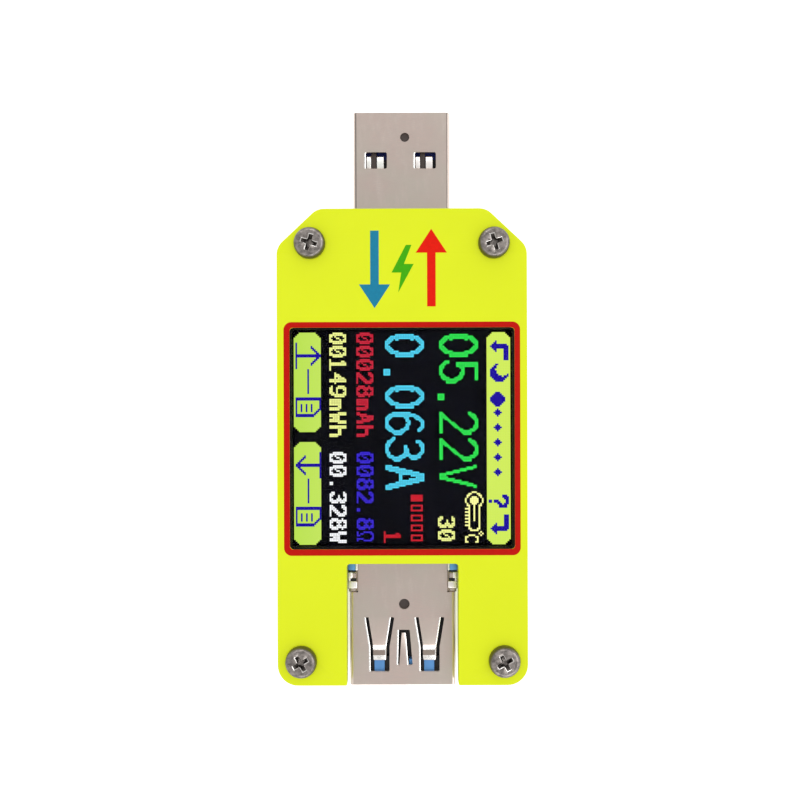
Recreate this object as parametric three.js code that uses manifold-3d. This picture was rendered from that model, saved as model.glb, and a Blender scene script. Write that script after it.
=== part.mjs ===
// A USB power meter that plugs in line with a USB-A port: two yellow plates hold a circuit board between
// them on brass standoffs. The board carries a USB-A plug at one end, a USB-A socket at the other, a small
// colour display under a clear window, four side push buttons and the measuring electronics.
//
// Frame, in millimetres: +Y runs from the socket to the plug, +Z out of the display, +X to the right when
// the display is read with the plug at the top. The origin is under the middle of the object, on the plane
// that the four rear screw heads stand on.

import * as THREE from "three";
import { mergeVertices } from "three/addons/utils/BufferGeometryUtils.js";
import Module from "manifold-3d";

const wasm = await Module();
wasm.setup();

// ---------------------------------------------------------------- driving dimensions
const OVERALL_LENGTH = 71.2; // plug tip to socket mouth
const THICKNESS = 12.4; // over both sets of screw heads
const BODY_WIDTH = 30.5; // the plates, and across the button tips
const PLATE_THICKNESS = 2.0;
const HEAD_HEIGHT = 1.2; // M2 pan head
const BOARD_THICKNESS = 1.2;
const LOWER_STANDOFF = 2.0; // rear plate to board

const TIP_Y = OVERALL_LENGTH / 2;
const MOUTH_Y = -OVERALL_LENGTH / 2;
const PLATE_BOTTOM_Y = MOUTH_Y + 0.6;
const PLATE_TOP_Y = TIP_Y - 12.5; // the plug stands out by 12.5
const HALF_WIDTH = BODY_WIDTH / 2;

// Heights, from the surface upwards.
const REAR_PLATE_Z = HEAD_HEIGHT;
const REAR_GAP_Z = REAR_PLATE_Z + PLATE_THICKNESS;
const BOARD_Z = REAR_GAP_Z + LOWER_STANDOFF;
const BOARD_TOP_Z = BOARD_Z + BOARD_THICKNESS;
const FRONT_FACE_Z = THICKNESS - HEAD_HEIGHT;
const FRONT_PLATE_Z = FRONT_FACE_Z - PLATE_THICKNESS;
const PLUG_Z = BOARD_TOP_Z; // middle plane of the plug, whose contacts lie on the board
const SOCKET_Z = BOARD_TOP_Z - 0.2; // middle plane of the socket, clear of both plates

// Plate outline.
const TOP_CHAMFER_X = 4.95;
const TOP_CHAMFER_Y = 4.65;
const CHAMFER_ROUND = 2.2;
const BOTTOM_ROUND = 2.5;
const FRONT_NOTCH_WIDTH = 13.6; // for the socket
const REAR_NOTCH_WIDTH = 15.2; // wider, for the socket's feet
const NOTCH_END_Y = -20.2;
const NOTCH_ROUND = 0.4;

// Screws and standoffs: M2, at four places.
const SCREW_TOP_X = 11.2;
const SCREW_TOP_Y = 18.85;
const SCREW_BOTTOM_X = 12.35;
const SCREW_BOTTOM_Y = -32.0;
const HEAD_RADIUS = 1.9;
const SHANK_RADIUS = 0.9;
const CLEARANCE_RADIUS = 1.1;
const THREAD_BORE_RADIUS = 1.0;
const HEX_ACROSS_FLATS = 3.5;

// Display: a 1.44 inch panel, 26.8 by 26.3 mm lit.
const DISPLAY_Y = -4.9; // middle of the lit area
const WINDOW_WIDTH = 27.4;
const WINDOW_LENGTH = 27.0;
const WINDOW_ROUND = 0.5;
const WINDOW_GAP = 0.05;
const LCD_HALF_WIDTH = 14.6;
const LCD_BOTTOM_Y = -19.2;
const LCD_TOP_Y = 12.0;
const LCD_Z = BOARD_TOP_Z + 0.2; // the pad is 0.2 thick
const LCD_TOP_Z = FRONT_PLATE_Z - 0.2;
const LCD_WALL = 0.55;

// USB-A plug: the standard 12.0 by 4.5 mm tube of 0.3 mm sheet.
const PLUG_WIDTH = 12.0;
const PLUG_HEIGHT = 4.5;
const SHEET = 0.3;
const TUBE_ROUND = 0.45; // both shells' corners, outside
const TUBE_INNER_ROUND = 0.2;
const PLUG_REAR_Y = 17.8;
const PLUG_CAVITY_DEPTH = 8.65;
const PLUG_TONGUE_HEIGHT = 1.95;

// USB-A socket: 13.1 by 5.7 mm outside.
const SOCKET_WIDTH = 13.1;
const SOCKET_HEIGHT = 5.7;
const SOCKET_REAR_Y = -20.3;
const SOCKET_CAVITY_DEPTH = 12.2;
const SOCKET_TONGUE_HEIGHT = 1.84;
const SOCKET_TONGUE_WIDTH = 11.1;

// The four contacts of both connectors stand at these places across the width.
const CONTACT_X = [-3.5, -1.0, 1.0, 3.5];
const CONTACT_THICKNESS = 0.15;

// Side buttons: two on each long side, under the board.
const BUTTON_Y = [1.9, -11.6];
const BUTTON_TRAVEL = 0.25;

// ---------------------------------------------------------------- materials
const finish = (color, roughness, metalness, extra = {}) =>
  new THREE.MeshStandardMaterial({ color, roughness, metalness, ...extra });
const YELLOW = finish(0xe2ee2d, 0.28, 0);
const CLEAR = finish(0x1a1c20, 0.05, 0, { transparent: true, opacity: 0.35 });
const BOARD_GREEN = finish(0x0f5a34, 0.35, 0);
const WHITE_PLASTIC = finish(0xe8e8e2, 0.5, 0);
const PANEL_BLACK = finish(0x07080d, 0.08, 0);
const AMBER_FILM = finish(0xb5651d, 0.4, 0);
const FOAM = finish(0x2c2c2e, 0.95, 0);
const STEEL = finish(0xbbaea4, 0.3, 1);
const SCREW_NICKEL = finish(0x9c948e, 0.35, 1);
const BRASS = finish(0xc9a24a, 0.3, 1);
const GOLD = finish(0xd9b45a, 0.25, 1);
const USB_BLUE = finish(0x1f62b8, 0.4, 0);
const BLACK_PLASTIC = finish(0x161617, 0.5, 0);
const TANTALUM = finish(0xc88a2a, 0.5, 0);
const CRYSTAL_STEEL = finish(0xc4c4c4, 0.25, 1);

// ---------------------------------------------------------------- solid modelling helpers
const ARC_STEPS = 3; // each rounded corner becomes twice as many segments

/** A manifold solid from a closed three.js geometry. */
function solidOf(geometry) {
  const bare = geometry.index ? geometry.toNonIndexed() : geometry.clone();
  bare.deleteAttribute("normal");
  bare.deleteAttribute("uv");
  const merged = mergeVertices(bare, 1e-4);
  const mesh = new wasm.Mesh({
    numProp: 3,
    vertProperties: merged.attributes.position.array,
    triVerts: new Uint32Array(merged.index.array),
  });
  return new wasm.Manifold(mesh);
}

/** A three.js geometry from a manifold solid. */
function geometryOf(solid) {
  const mesh = solid.getMesh();
  const geometry = new THREE.BufferGeometry();
  geometry.setAttribute("position", new THREE.BufferAttribute(mesh.vertProperties, 3));
  geometry.setIndex(new THREE.BufferAttribute(mesh.triVerts, 1));
  return geometry;
}

/** A box between two corners. */
function block(x0, x1, y0, y1, z0, z1) {
  const box = new THREE.BoxGeometry(x1 - x0, y1 - y0, z1 - z0);
  box.translate((x0 + x1) / 2, (y0 + y1) / 2, (z0 + z1) / 2);
  return box;
}

/** A round bar along Z. */
function bar(x, y, radius, z0, z1, steps = 16) {
  const cylinder = new THREE.CylinderGeometry(radius, radius, z1 - z0, steps);
  cylinder.rotateX(Math.PI / 2);
  cylinder.translate(x, y, (z0 + z1) / 2);
  return cylinder;
}

/** A closed outline whose corners [x, y, radius] are rounded; corners run anticlockwise. */
function roundedOutline(corners, Kind = THREE.Shape) {
  const shape = new Kind();
  corners.forEach(([x, y, radius], i) => {
    const before = corners[(i + corners.length - 1) % corners.length];
    const after = corners[(i + 1) % corners.length];
    const here = new THREE.Vector2(x, y);
    const back = new THREE.Vector2(before[0], before[1]).sub(here).normalize();
    const on = new THREE.Vector2(after[0], after[1]).sub(here).normalize();
    const place = (p) => (i === 0 ? shape.moveTo(p.x, p.y) : shape.lineTo(p.x, p.y));
    if (!radius) {
      place(here);
      return;
    }
    const half = Math.acos(THREE.MathUtils.clamp(back.dot(on), -1, 1)) / 2;
    const run = radius / Math.tan(half);
    const start = here.clone().addScaledVector(back, run);
    const end = here.clone().addScaledVector(on, run);
    const middle = back.clone().add(on).normalize();
    const centre = here.clone().addScaledVector(middle, radius / Math.sin(half));
    const from = Math.atan2(start.y - centre.y, start.x - centre.x);
    const to = Math.atan2(end.y - centre.y, end.x - centre.x);
    place(start);
    shape.absarc(centre.x, centre.y, radius, from, to, back.cross(on) > 0);
  });
  shape.closePath();
  return shape;
}

/** A rectangle with rounded corners, as an outline. */
function roundedRectangle(x0, x1, y0, y1, radius, Kind = THREE.Shape) {
  const corners = [[x0, y0], [x1, y0], [x1, y1], [x0, y1]];
  return roundedOutline(corners.map(([x, y]) => [x, y, radius]), Kind);
}

/** An outline in X and Y, extruded from z0 to z1. */
function slab(shape, z0, z1, steps = ARC_STEPS) {
  const options = { depth: z1 - z0, bevelEnabled: false, curveSegments: steps };
  return new THREE.ExtrudeGeometry(shape, options).translate(0, 0, z0);
}

/** An outline drawn in X and Z, extruded along Y from y0 to y1. */
function tube(shape, y0, y1) {
  const options = { depth: y1 - y0, bevelEnabled: false, curveSegments: ARC_STEPS };
  const geometry = new THREE.ExtrudeGeometry(shape, options);
  return geometry.rotateX(Math.PI / 2).translate(0, y1, 0);
}

/** An outline drawn in Y and Z, extruded along X from x0 to x1. */
function ribbon(shape, x0, x1, steps = ARC_STEPS) {
  const options = { depth: x1 - x0, bevelEnabled: false, curveSegments: steps };
  const geometry = new THREE.ExtrudeGeometry(shape, options);
  return geometry.rotateZ(Math.PI / 2).rotateY(Math.PI / 2).translate(x0, 0, 0);
}

/** The first geometry with all the others joined to it. */
const join = (first, ...others) =>
  others.reduce((whole, next) => whole.add(solidOf(next)), solidOf(first));

/** A solid with each of these geometries cut out of it. */
const cut = (solid, ...tools) =>
  tools.reduce((left, tool) => left.subtract(solidOf(tool)), solid);

const meter = new THREE.Group();

/** Adds one named piece to the meter, from a geometry or a manifold solid. */
function addPiece(name, shape, material, x = 0, y = 0, z = 0) {
  const geometry = shape.isBufferGeometry ? shape : geometryOf(shape);
  geometry.computeVertexNormals();
  const mesh = new THREE.Mesh(geometry, material);
  mesh.name = name;
  mesh.position.set(x, y, z);
  meter.add(mesh);
}

// ---------------------------------------------------------------- screw places
const SCREW_PLACES = [
  ["plug_left", -SCREW_TOP_X, SCREW_TOP_Y],
  ["plug_right", SCREW_TOP_X, SCREW_TOP_Y],
  ["socket_left", -SCREW_BOTTOM_X, SCREW_BOTTOM_Y],
  ["socket_right", SCREW_BOTTOM_X, SCREW_BOTTOM_Y],
];

/** Round holes at the four screw places. */
function screwHoles(radius) {
  return SCREW_PLACES.map(([, x, y]) => {
    const hole = new THREE.Path();
    hole.absarc(x, y, radius, 0, 2 * Math.PI, true);
    return hole;
  });
}

/** The plates' outline, drawn in by an inset, with the socket's notch in its lower edge. */
function bodyOutline(inset, notchWidth, notchEnd) {
  const right = HALF_WIDTH - inset;
  const low = PLATE_BOTTOM_Y + inset;
  const high = PLATE_TOP_Y - inset;
  const notch = notchWidth / 2;
  const half = [
    [notch, notchEnd, NOTCH_ROUND],
    [notch, low, 0],
    [right, low, BOTTOM_ROUND],
    [right, high - TOP_CHAMFER_Y, CHAMFER_ROUND],
    [right - TOP_CHAMFER_X, high, CHAMFER_ROUND],
  ];
  const mirrored = half.map(([x, y, radius]) => [-x, y, radius]).reverse();
  return [...half, ...mirrored];
}

// ---------------------------------------------------------------- plates and window
const windowEdges = [
  -WINDOW_WIDTH / 2,
  WINDOW_WIDTH / 2,
  DISPLAY_Y - WINDOW_LENGTH / 2,
  DISPLAY_Y + WINDOW_LENGTH / 2,
];
const frontShape = roundedOutline(bodyOutline(0, FRONT_NOTCH_WIDTH, NOTCH_END_Y));
frontShape.holes.push(roundedRectangle(...windowEdges, WINDOW_ROUND, THREE.Path));
frontShape.holes.push(...screwHoles(CLEARANCE_RADIUS));
addPiece("front_plate", slab(frontShape, FRONT_PLATE_Z, FRONT_FACE_Z), YELLOW);

const rearShape = roundedOutline(bodyOutline(0, REAR_NOTCH_WIDTH, NOTCH_END_Y));
rearShape.holes.push(...screwHoles(CLEARANCE_RADIUS));
addPiece("rear_plate", slab(rearShape, REAR_PLATE_Z, REAR_GAP_Z), YELLOW);

const paneEdges = windowEdges.map((edge, i) => edge + (i % 2 ? -WINDOW_GAP : WINDOW_GAP));
const paneShape = roundedRectangle(...paneEdges, WINDOW_ROUND - WINDOW_GAP);
addPiece("display_window", slab(paneShape, FRONT_PLATE_Z, FRONT_FACE_Z), CLEAR);

// ---------------------------------------------------------------- main board
const BOARD_INSET = 0.5;
const BOARD_SOCKET_NOTCH = 14.4;
const BOARD_NOTCH_END_Y = -19.8;
const BOARD_PLUG_NOTCH = 12.5;
const boardShape = roundedOutline(bodyOutline(BOARD_INSET, BOARD_SOCKET_NOTCH, BOARD_NOTCH_END_Y));
boardShape.holes.push(...screwHoles(CLEARANCE_RADIUS));
const plugSlot = roundedRectangle(
  -BOARD_PLUG_NOTCH / 2,
  BOARD_PLUG_NOTCH / 2,
  PLUG_REAR_Y - 0.2,
  TIP_Y,
  NOTCH_ROUND,
);
const boardSolid = cut(
  solidOf(slab(boardShape, BOARD_Z, BOARD_TOP_Z)),
  slab(plugSlot, BOARD_Z - 1, BOARD_TOP_Z + 1),
);
addPiece("main_board", boardSolid, BOARD_GREEN);

// ---------------------------------------------------------------- display module
const lcdFloorZ = LCD_Z + 0.4;
const glassZ = lcdFloorZ + 1.1;
const glassHalf = LCD_HALF_WIDTH - LCD_WALL - 0.1;
const glassBottomY = LCD_BOTTOM_Y + LCD_WALL + 0.1;
const glassTopY = LCD_TOP_Y - LCD_WALL - 0.1;
const FLEX_HALF_WIDTH = 6.0;
const lcdFrame = cut(
  solidOf(block(-LCD_HALF_WIDTH, LCD_HALF_WIDTH, LCD_BOTTOM_Y, LCD_TOP_Y, LCD_Z, LCD_TOP_Z - 0.1)),
  block(
    -LCD_HALF_WIDTH + LCD_WALL,
    LCD_HALF_WIDTH - LCD_WALL,
    LCD_BOTTOM_Y + LCD_WALL,
    LCD_TOP_Y - LCD_WALL,
    lcdFloorZ,
    LCD_TOP_Z + 1,
  ),
  // The flex ribbon leaves through this gap in the wall.
  block(-FLEX_HALF_WIDTH - 0.4, FLEX_HALF_WIDTH + 0.4, LCD_TOP_Y - 1, LCD_TOP_Y + 1, glassZ, LCD_TOP_Z + 1),
);
addPiece("lcd_frame", lcdFrame, WHITE_PLASTIC);
addPiece(
  "lcd_backlight",
  block(-glassHalf, glassHalf, glassBottomY, glassTopY - 0.6, lcdFloorZ + 0.05, glassZ - 0.05),
  WHITE_PLASTIC,
);
addPiece(
  "lcd_glass",
  block(-glassHalf, glassHalf, glassBottomY, glassTopY - 0.3, glassZ, LCD_TOP_Z),
  PANEL_BLACK,
);
addPiece("lcd_pad", block(-12, 12, -16.5, 9.5, BOARD_TOP_Z, LCD_Z), FOAM);

// The flex ribbon runs off the glass, over the frame's wall and down to its pads on the board.
const FLEX_THICKNESS = 0.15;
const flexHighZ = glassZ + 0.1;
const flexLowZ = BOARD_TOP_Z + 0.05;
const flexShape = new THREE.Shape();
flexShape.moveTo(glassTopY - 0.25, flexHighZ);
flexShape.lineTo(12.2, flexHighZ);
flexShape.bezierCurveTo(13.0, flexHighZ, 12.8, flexLowZ, 13.6, flexLowZ);
flexShape.lineTo(15.6, flexLowZ);
flexShape.lineTo(15.6, flexLowZ + FLEX_THICKNESS);
flexShape.lineTo(13.7, flexLowZ + FLEX_THICKNESS);
flexShape.bezierCurveTo(12.95, flexLowZ + 0.15, 13.15, flexHighZ + 0.15, 12.3, flexHighZ + 0.15);
flexShape.lineTo(glassTopY - 0.25, flexHighZ + FLEX_THICKNESS);
addPiece("lcd_flex", ribbon(flexShape, -FLEX_HALF_WIDTH, FLEX_HALF_WIDTH, 8), AMBER_FILM);

// ---------------------------------------------------------------- USB plug
const plugHalf = PLUG_WIDTH / 2;
const plugLowZ = PLUG_Z - PLUG_HEIGHT / 2;
const plugHighZ = PLUG_Z + PLUG_HEIGHT / 2;
const plugTongueZ = plugLowZ + SHEET + PLUG_TONGUE_HEIGHT;
const PLUG_LATCH_X = [1.66, 4.45];
const PLUG_LATCH_Y = [TIP_Y - 7.0, TIP_Y - 4.95];
const CODING_HOLE_RADIUS = 0.57;

/** The section of a sheet metal tube, in X and Z. */
function sheetSection(half, low, high, outerRound, innerRound) {
  const section = roundedRectangle(-half, half, low, high, outerRound);
  const inside = roundedRectangle(
    -half + SHEET,
    half - SHEET,
    low + SHEET,
    high - SHEET,
    innerRound,
    THREE.Path,
  );
  section.holes.push(inside);
  return section;
}

const latchWindows = [-1, 1].flatMap((side) => {
  const edges = PLUG_LATCH_X.map((x) => side * x).sort((a, b) => a - b);
  return [
    block(...edges, ...PLUG_LATCH_Y, plugHighZ - 1, plugHighZ + 1),
    block(...edges, ...PLUG_LATCH_Y, plugLowZ - 1, plugLowZ + SHEET + 0.05),
  ];
});
const plugFeet = [-1, 1].map((side) => {
  const edges = [side * (plugHalf - 0.1), side * (plugHalf + 1.6)].sort((a, b) => a - b);
  return block(...edges, 18.6, 20.0, BOARD_TOP_Z, BOARD_TOP_Z + SHEET);
});
const plugTube = tube(
  sheetSection(plugHalf, plugLowZ, plugHighZ, TUBE_ROUND, TUBE_INNER_ROUND),
  PLUG_REAR_Y,
  TIP_Y,
);
const plugShell = cut(
  join(plugTube, ...plugFeet),
  ...latchWindows,
  bar(0.5, TIP_Y - 3.1, CODING_HOLE_RADIUS, plugHighZ - 1, plugHighZ + 1),
);
addPiece("plug_shell", plugShell, STEEL);

// The insulator: a low tongue in the cavity's lower half, and a full block behind it.
const INSULATOR_GAP = 0.05;
const plugInside = plugHalf - SHEET - INSULATOR_GAP;
const plugCavityY = TIP_Y - PLUG_CAVITY_DEPTH;
const plugInsulatorLow = plugLowZ + SHEET + INSULATOR_GAP;
const CONTACT_SLOT_HALF = 0.62;
const insulatorSection = roundedRectangle(
  -plugInside,
  plugInside,
  plugInsulatorLow,
  plugHighZ - SHEET - INSULATOR_GAP,
  0.45,
);
const plugInsulator = cut(
  solidOf(tube(insulatorSection, PLUG_REAR_Y + 0.3, TIP_Y - 0.25)),
  block(-plugHalf, plugHalf, plugCavityY, TIP_Y + 1, plugTongueZ, plugHighZ + 1),
  ...CONTACT_X.map((x) =>
    block(
      x - CONTACT_SLOT_HALF,
      x + CONTACT_SLOT_HALF,
      PLUG_REAR_Y - 1,
      plugCavityY + 0.5,
      plugTongueZ,
      plugTongueZ + CONTACT_THICKNESS + 0.1,
    ),
  ),
);
addPiece("plug_insulator", plugInsulator, USB_BLUE);

CONTACT_X.forEach((x, i) => {
  const outer = i === 0 || i === 3; // power and ground reach further, so they meet first
  const front = TIP_Y - (outer ? 0.95 : 1.95);
  const strip = block(x - 0.5, x + 0.5, 16.5, front, plugTongueZ, plugTongueZ + CONTACT_THICKNESS);
  addPiece(`plug_contact_${i + 1}`, strip, GOLD);
});

// ---------------------------------------------------------------- USB socket
const socketHalf = SOCKET_WIDTH / 2;
const socketLowZ = SOCKET_Z - SOCKET_HEIGHT / 2;
const socketHighZ = SOCKET_Z + SOCKET_HEIGHT / 2;
const socketBackY = MOUTH_Y + SOCKET_CAVITY_DEPTH;

/** A slot of constant shape through a wall, from a list of corners. */
const slot = (corners, z0, z1) => slab(roundedOutline(corners.map(([x, y]) => [x, y, 0])), z0, z1);

// Each spring finger hangs from its rear end between two slits that lean together,
// then spread a little, and it ends over a rectangular opening near the mouth.
const FINGER_X = 3.1;
const FINGER_TIP_Y = -32.85;
const OPENING_END_Y = -34.0;
const SLIT = 0.3;
const FINGER_STATIONS = [
  { y: -27.4, half: 1.55 },
  { y: -31.05, half: 0.8 },
  { y: OPENING_END_Y + 0.3, half: 0.95 },
];

/** The two slits and the opening around one spring finger, side -1 on the left and 1 on the right. */
function fingerSlits(side, z0, z1) {
  const slits = [-1, 1].map((edge) => {
    const inner = FINGER_STATIONS.map(({ y, half }) => [side * FINGER_X + edge * half, y]);
    const outer = FINGER_STATIONS.map(({ y, half }) => [side * FINGER_X + edge * (half + SLIT), y]);
    const corners = [...inner, ...outer.reverse()];
    return slot(edge > 0 ? corners : corners.reverse(), z0, z1);
  });
  const openingHalf = FINGER_STATIONS[2].half + SLIT;
  const opening = block(
    side * FINGER_X - openingHalf,
    side * FINGER_X + openingHalf,
    OPENING_END_Y,
    FINGER_TIP_Y,
    z0,
    z1,
  );
  return [...slits, opening];
}

/** The slits around the middle lance, which is held at the mouth end. */
function lanceSlits(z0, z1) {
  const LANCE_TIP_Y = -29.35;
  const LANCE_ROOT_Y = -33.1;
  const sides = [-1, 1].map((side) => {
    const corners = [
      [side * 0.5, LANCE_TIP_Y],
      [side * 0.65, LANCE_ROOT_Y],
      [side * 0.95, LANCE_ROOT_Y],
      [side * 0.8, LANCE_TIP_Y],
    ];
    return slot(side > 0 ? corners : corners.reverse(), z0, z1);
  });
  return [...sides, block(-0.8, 0.8, LANCE_TIP_Y - 0.05, LANCE_TIP_Y + 0.5, z0, z1)];
}

const upperWall = [socketHighZ - 1, socketHighZ + 1];
const lowerWall = [socketLowZ - 1, socketLowZ + SHEET + 0.2];
const footSide = (side) => {
  const upright = [side * (socketHalf - 0.1), side * (socketHalf + SHEET)].sort((a, b) => a - b);
  const foot = [side * (socketHalf - 0.1), side * (socketHalf + 2.0)].sort((a, b) => a - b);
  return [
    block(...upright, -24.3, -21.8, BOARD_TOP_Z, socketHighZ - 0.4),
    block(...foot, -24.3, -21.8, BOARD_TOP_Z, BOARD_TOP_Z + SHEET),
  ];
};
const cornerNotches = [-1, 1].map((side) => {
  const edges = [side * (socketHalf - 0.85), side * (socketHalf + 1)].sort((a, b) => a - b);
  return block(...edges, SOCKET_REAR_Y - 1.3, SOCKET_REAR_Y + 1, socketLowZ - 1, socketHighZ + 1);
});
const socketTube = tube(
  sheetSection(socketHalf, socketLowZ, socketHighZ, TUBE_ROUND, TUBE_INNER_ROUND),
  MOUTH_Y,
  SOCKET_REAR_Y,
);
const socketShell = cut(
  join(socketTube, ...footSide(-1), ...footSide(1)),
  ...cornerNotches,
  ...fingerSlits(-1, ...upperWall),
  ...fingerSlits(1, ...upperWall),
  ...fingerSlits(-1, ...lowerWall),
  ...fingerSlits(1, ...lowerWall),
  ...lanceSlits(...upperWall),
  bar(0.2, -25.55, 0.65, ...upperWall),
);
addPiece("socket_shell", socketShell, STEEL);

// The insulator: a block across the rear and a tongue in the cavity's upper half.
const socketInside = socketHalf - SHEET - INSULATOR_GAP;
const socketTongueHigh = socketHighZ - SHEET - 0.72;
const socketTongueLow = socketTongueHigh - SOCKET_TONGUE_HEIGHT;
const tongueHalf = SOCKET_TONGUE_WIDTH / 2;
const FLANGE_HALF = 7.05;
const socketBlockSection = roundedRectangle(
  -socketInside,
  socketInside,
  socketLowZ + SHEET + INSULATOR_GAP,
  socketHighZ - SHEET - INSULATOR_GAP,
  0.6,
);
const socketInsulator = cut(
  join(
    tube(socketBlockSection, socketBackY, SOCKET_REAR_Y + 0.05),
    block(-tongueHalf, tongueHalf, MOUTH_Y + 1.2, socketBackY + 0.5, socketTongueLow, socketTongueHigh),
    block(
      -FLANGE_HALF,
      FLANGE_HALF,
      SOCKET_REAR_Y - 1.25,
      SOCKET_REAR_Y + 0.05,
      socketLowZ + 0.9,
      socketHighZ - 0.9,
    ),
  ),
  ...CONTACT_X.map((x) =>
    block(
      x - CONTACT_SLOT_HALF,
      x + CONTACT_SLOT_HALF,
      socketBackY - 0.5,
      SOCKET_REAR_Y + 1,
      socketTongueLow - 0.35,
      socketTongueLow,
    ),
  ),
);
addPiece("socket_insulator", socketInsulator, USB_BLUE);

// Each contact runs under the tongue, through the block, and down to the board's underside.
CONTACT_X.forEach((x, i) => {
  const outer = i === 0 || i === 3;
  const high = socketTongueLow - 0.02;
  const low = high - CONTACT_THICKNESS;
  const tailHigh = BOARD_Z - 0.02;
  const rear = SOCKET_REAR_Y + 0.12;
  const contact = join(
    block(x - 0.5, x + 0.5, MOUTH_Y + (outer ? 1.9 : 2.9), rear + CONTACT_THICKNESS, low, high),
    block(x - 0.5, x + 0.5, rear, rear + CONTACT_THICKNESS, tailHigh - CONTACT_THICKNESS, high),
    block(x - 0.5, x + 0.5, rear, rear + 1.9, tailHigh - CONTACT_THICKNESS, tailHigh),
  );
  addPiece(`socket_contact_${i + 1}`, contact, GOLD);
});

// ---------------------------------------------------------------- screws and standoffs
/** A pan head screw that stands on z = 0 and points down, with a cross recess in its head. */
function panScrew(shankLength) {
  const profile = [
    [0, -shankLength],
    [SHANK_RADIUS - 0.2, -shankLength],
    [SHANK_RADIUS, -shankLength + 0.25],
    [SHANK_RADIUS, 0],
    [HEAD_RADIUS, 0],
    [HEAD_RADIUS, HEAD_HEIGHT * 0.55],
    [HEAD_RADIUS * 0.9, HEAD_HEIGHT * 0.85],
    [HEAD_RADIUS * 0.72, HEAD_HEIGHT],
    [0, HEAD_HEIGHT],
  ];
  const body = new THREE.LatheGeometry(profile.map(([r, z]) => new THREE.Vector2(r, z)), 20);
  body.rotateX(Math.PI / 2);
  const RECESS_HALF = 1.05;
  const RECESS_DEPTH = 0.75;
  const wings = [0, 1].map((i) => {
    const wing = block(
      -RECESS_HALF,
      RECESS_HALF,
      -0.26,
      0.26,
      HEAD_HEIGHT - RECESS_DEPTH,
      HEAD_HEIGHT + 1,
    );
    return wing.rotateZ((i * Math.PI) / 2);
  });
  return cut(solidOf(body), ...wings);
}

const hexCorners = (radius) =>
  [...Array(6).keys()].map((i) => {
    const angle = (i * Math.PI) / 3;
    return [radius * Math.cos(angle), radius * Math.sin(angle), 0.12];
  });

/** A hexagonal pillar along Z. */
const hexPillar = (z0, z1) =>
  slab(roundedOutline(hexCorners(HEX_ACROSS_FLATS / 2 / Math.cos(Math.PI / 6))), z0, z1, 1);

const STUD_ENGAGEMENT = 1.2;
const FRONT_SHANK = 3.2;
const REAR_SHANK = 3.6;
const RECESS_TURNS = [-0.3, 0.3, 0.53, 0.49]; // each screw stops at its own angle

SCREW_PLACES.forEach(([place, x, y], i) => {
  const frontScrew = geometryOf(panScrew(FRONT_SHANK)).rotateZ(RECESS_TURNS[i]);
  addPiece(`front_screw_${place}`, frontScrew, SCREW_NICKEL, x, y, FRONT_FACE_Z);

  const rearScrew = geometryOf(panScrew(REAR_SHANK)).rotateX(Math.PI).rotateZ(RECESS_TURNS[3 - i]);
  addPiece(`rear_screw_${place}`, rearScrew, SCREW_NICKEL, x, y, REAR_PLATE_Z);

  const upper = cut(
    solidOf(hexPillar(BOARD_TOP_Z, FRONT_PLATE_Z)),
    bar(0, 0, THREAD_BORE_RADIUS, BOARD_TOP_Z - 1, FRONT_PLATE_Z + 1, 12),
  );
  addPiece(`upper_standoff_${place}`, upper, BRASS, x, y);

  const lower = cut(
    join(
      hexPillar(REAR_GAP_Z, BOARD_Z),
      bar(0, 0, SHANK_RADIUS, BOARD_Z - 0.1, BOARD_TOP_Z + STUD_ENGAGEMENT, 12),
    ),
    bar(0, 0, THREAD_BORE_RADIUS, REAR_GAP_Z - 1, BOARD_Z - 0.25, 12),
  );
  addPiece(`lower_standoff_${place}`, lower, BRASS, x, y);
});

// ---------------------------------------------------------------- side push buttons
const SWITCH_HALF_LENGTH = 1.95;
const SWITCH_OUTER_X = HALF_WIDTH - 0.6;
const SWITCH_INNER_X = SWITCH_OUTER_X - 2.9;
const SWITCH_Z = BOARD_Z - 1.65;
const PLUNGER_HALF_LENGTH = 0.85;
const PLUNGER_Z = [SWITCH_Z + 0.4, SWITCH_Z + 1.2];
const COVER_SHEET = 0.15;

const BUTTONS = [
  ["left", -1],
  ["right", 1],
].flatMap(([sideName, side]) =>
  BUTTON_Y.map((y, i) => ({ name: `${sideName}_${i ? "lower" : "upper"}`, side, y })),
);

/** A block given for the right-hand side, mirrored to the side that the button is on. */
function sideBlock(side, x0, x1, y0, y1, z0, z1) {
  const [low, high] = side > 0 ? [x0, x1] : [-x1, -x0];
  return block(low, high, y0, y1, z0, z1);
}

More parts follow.
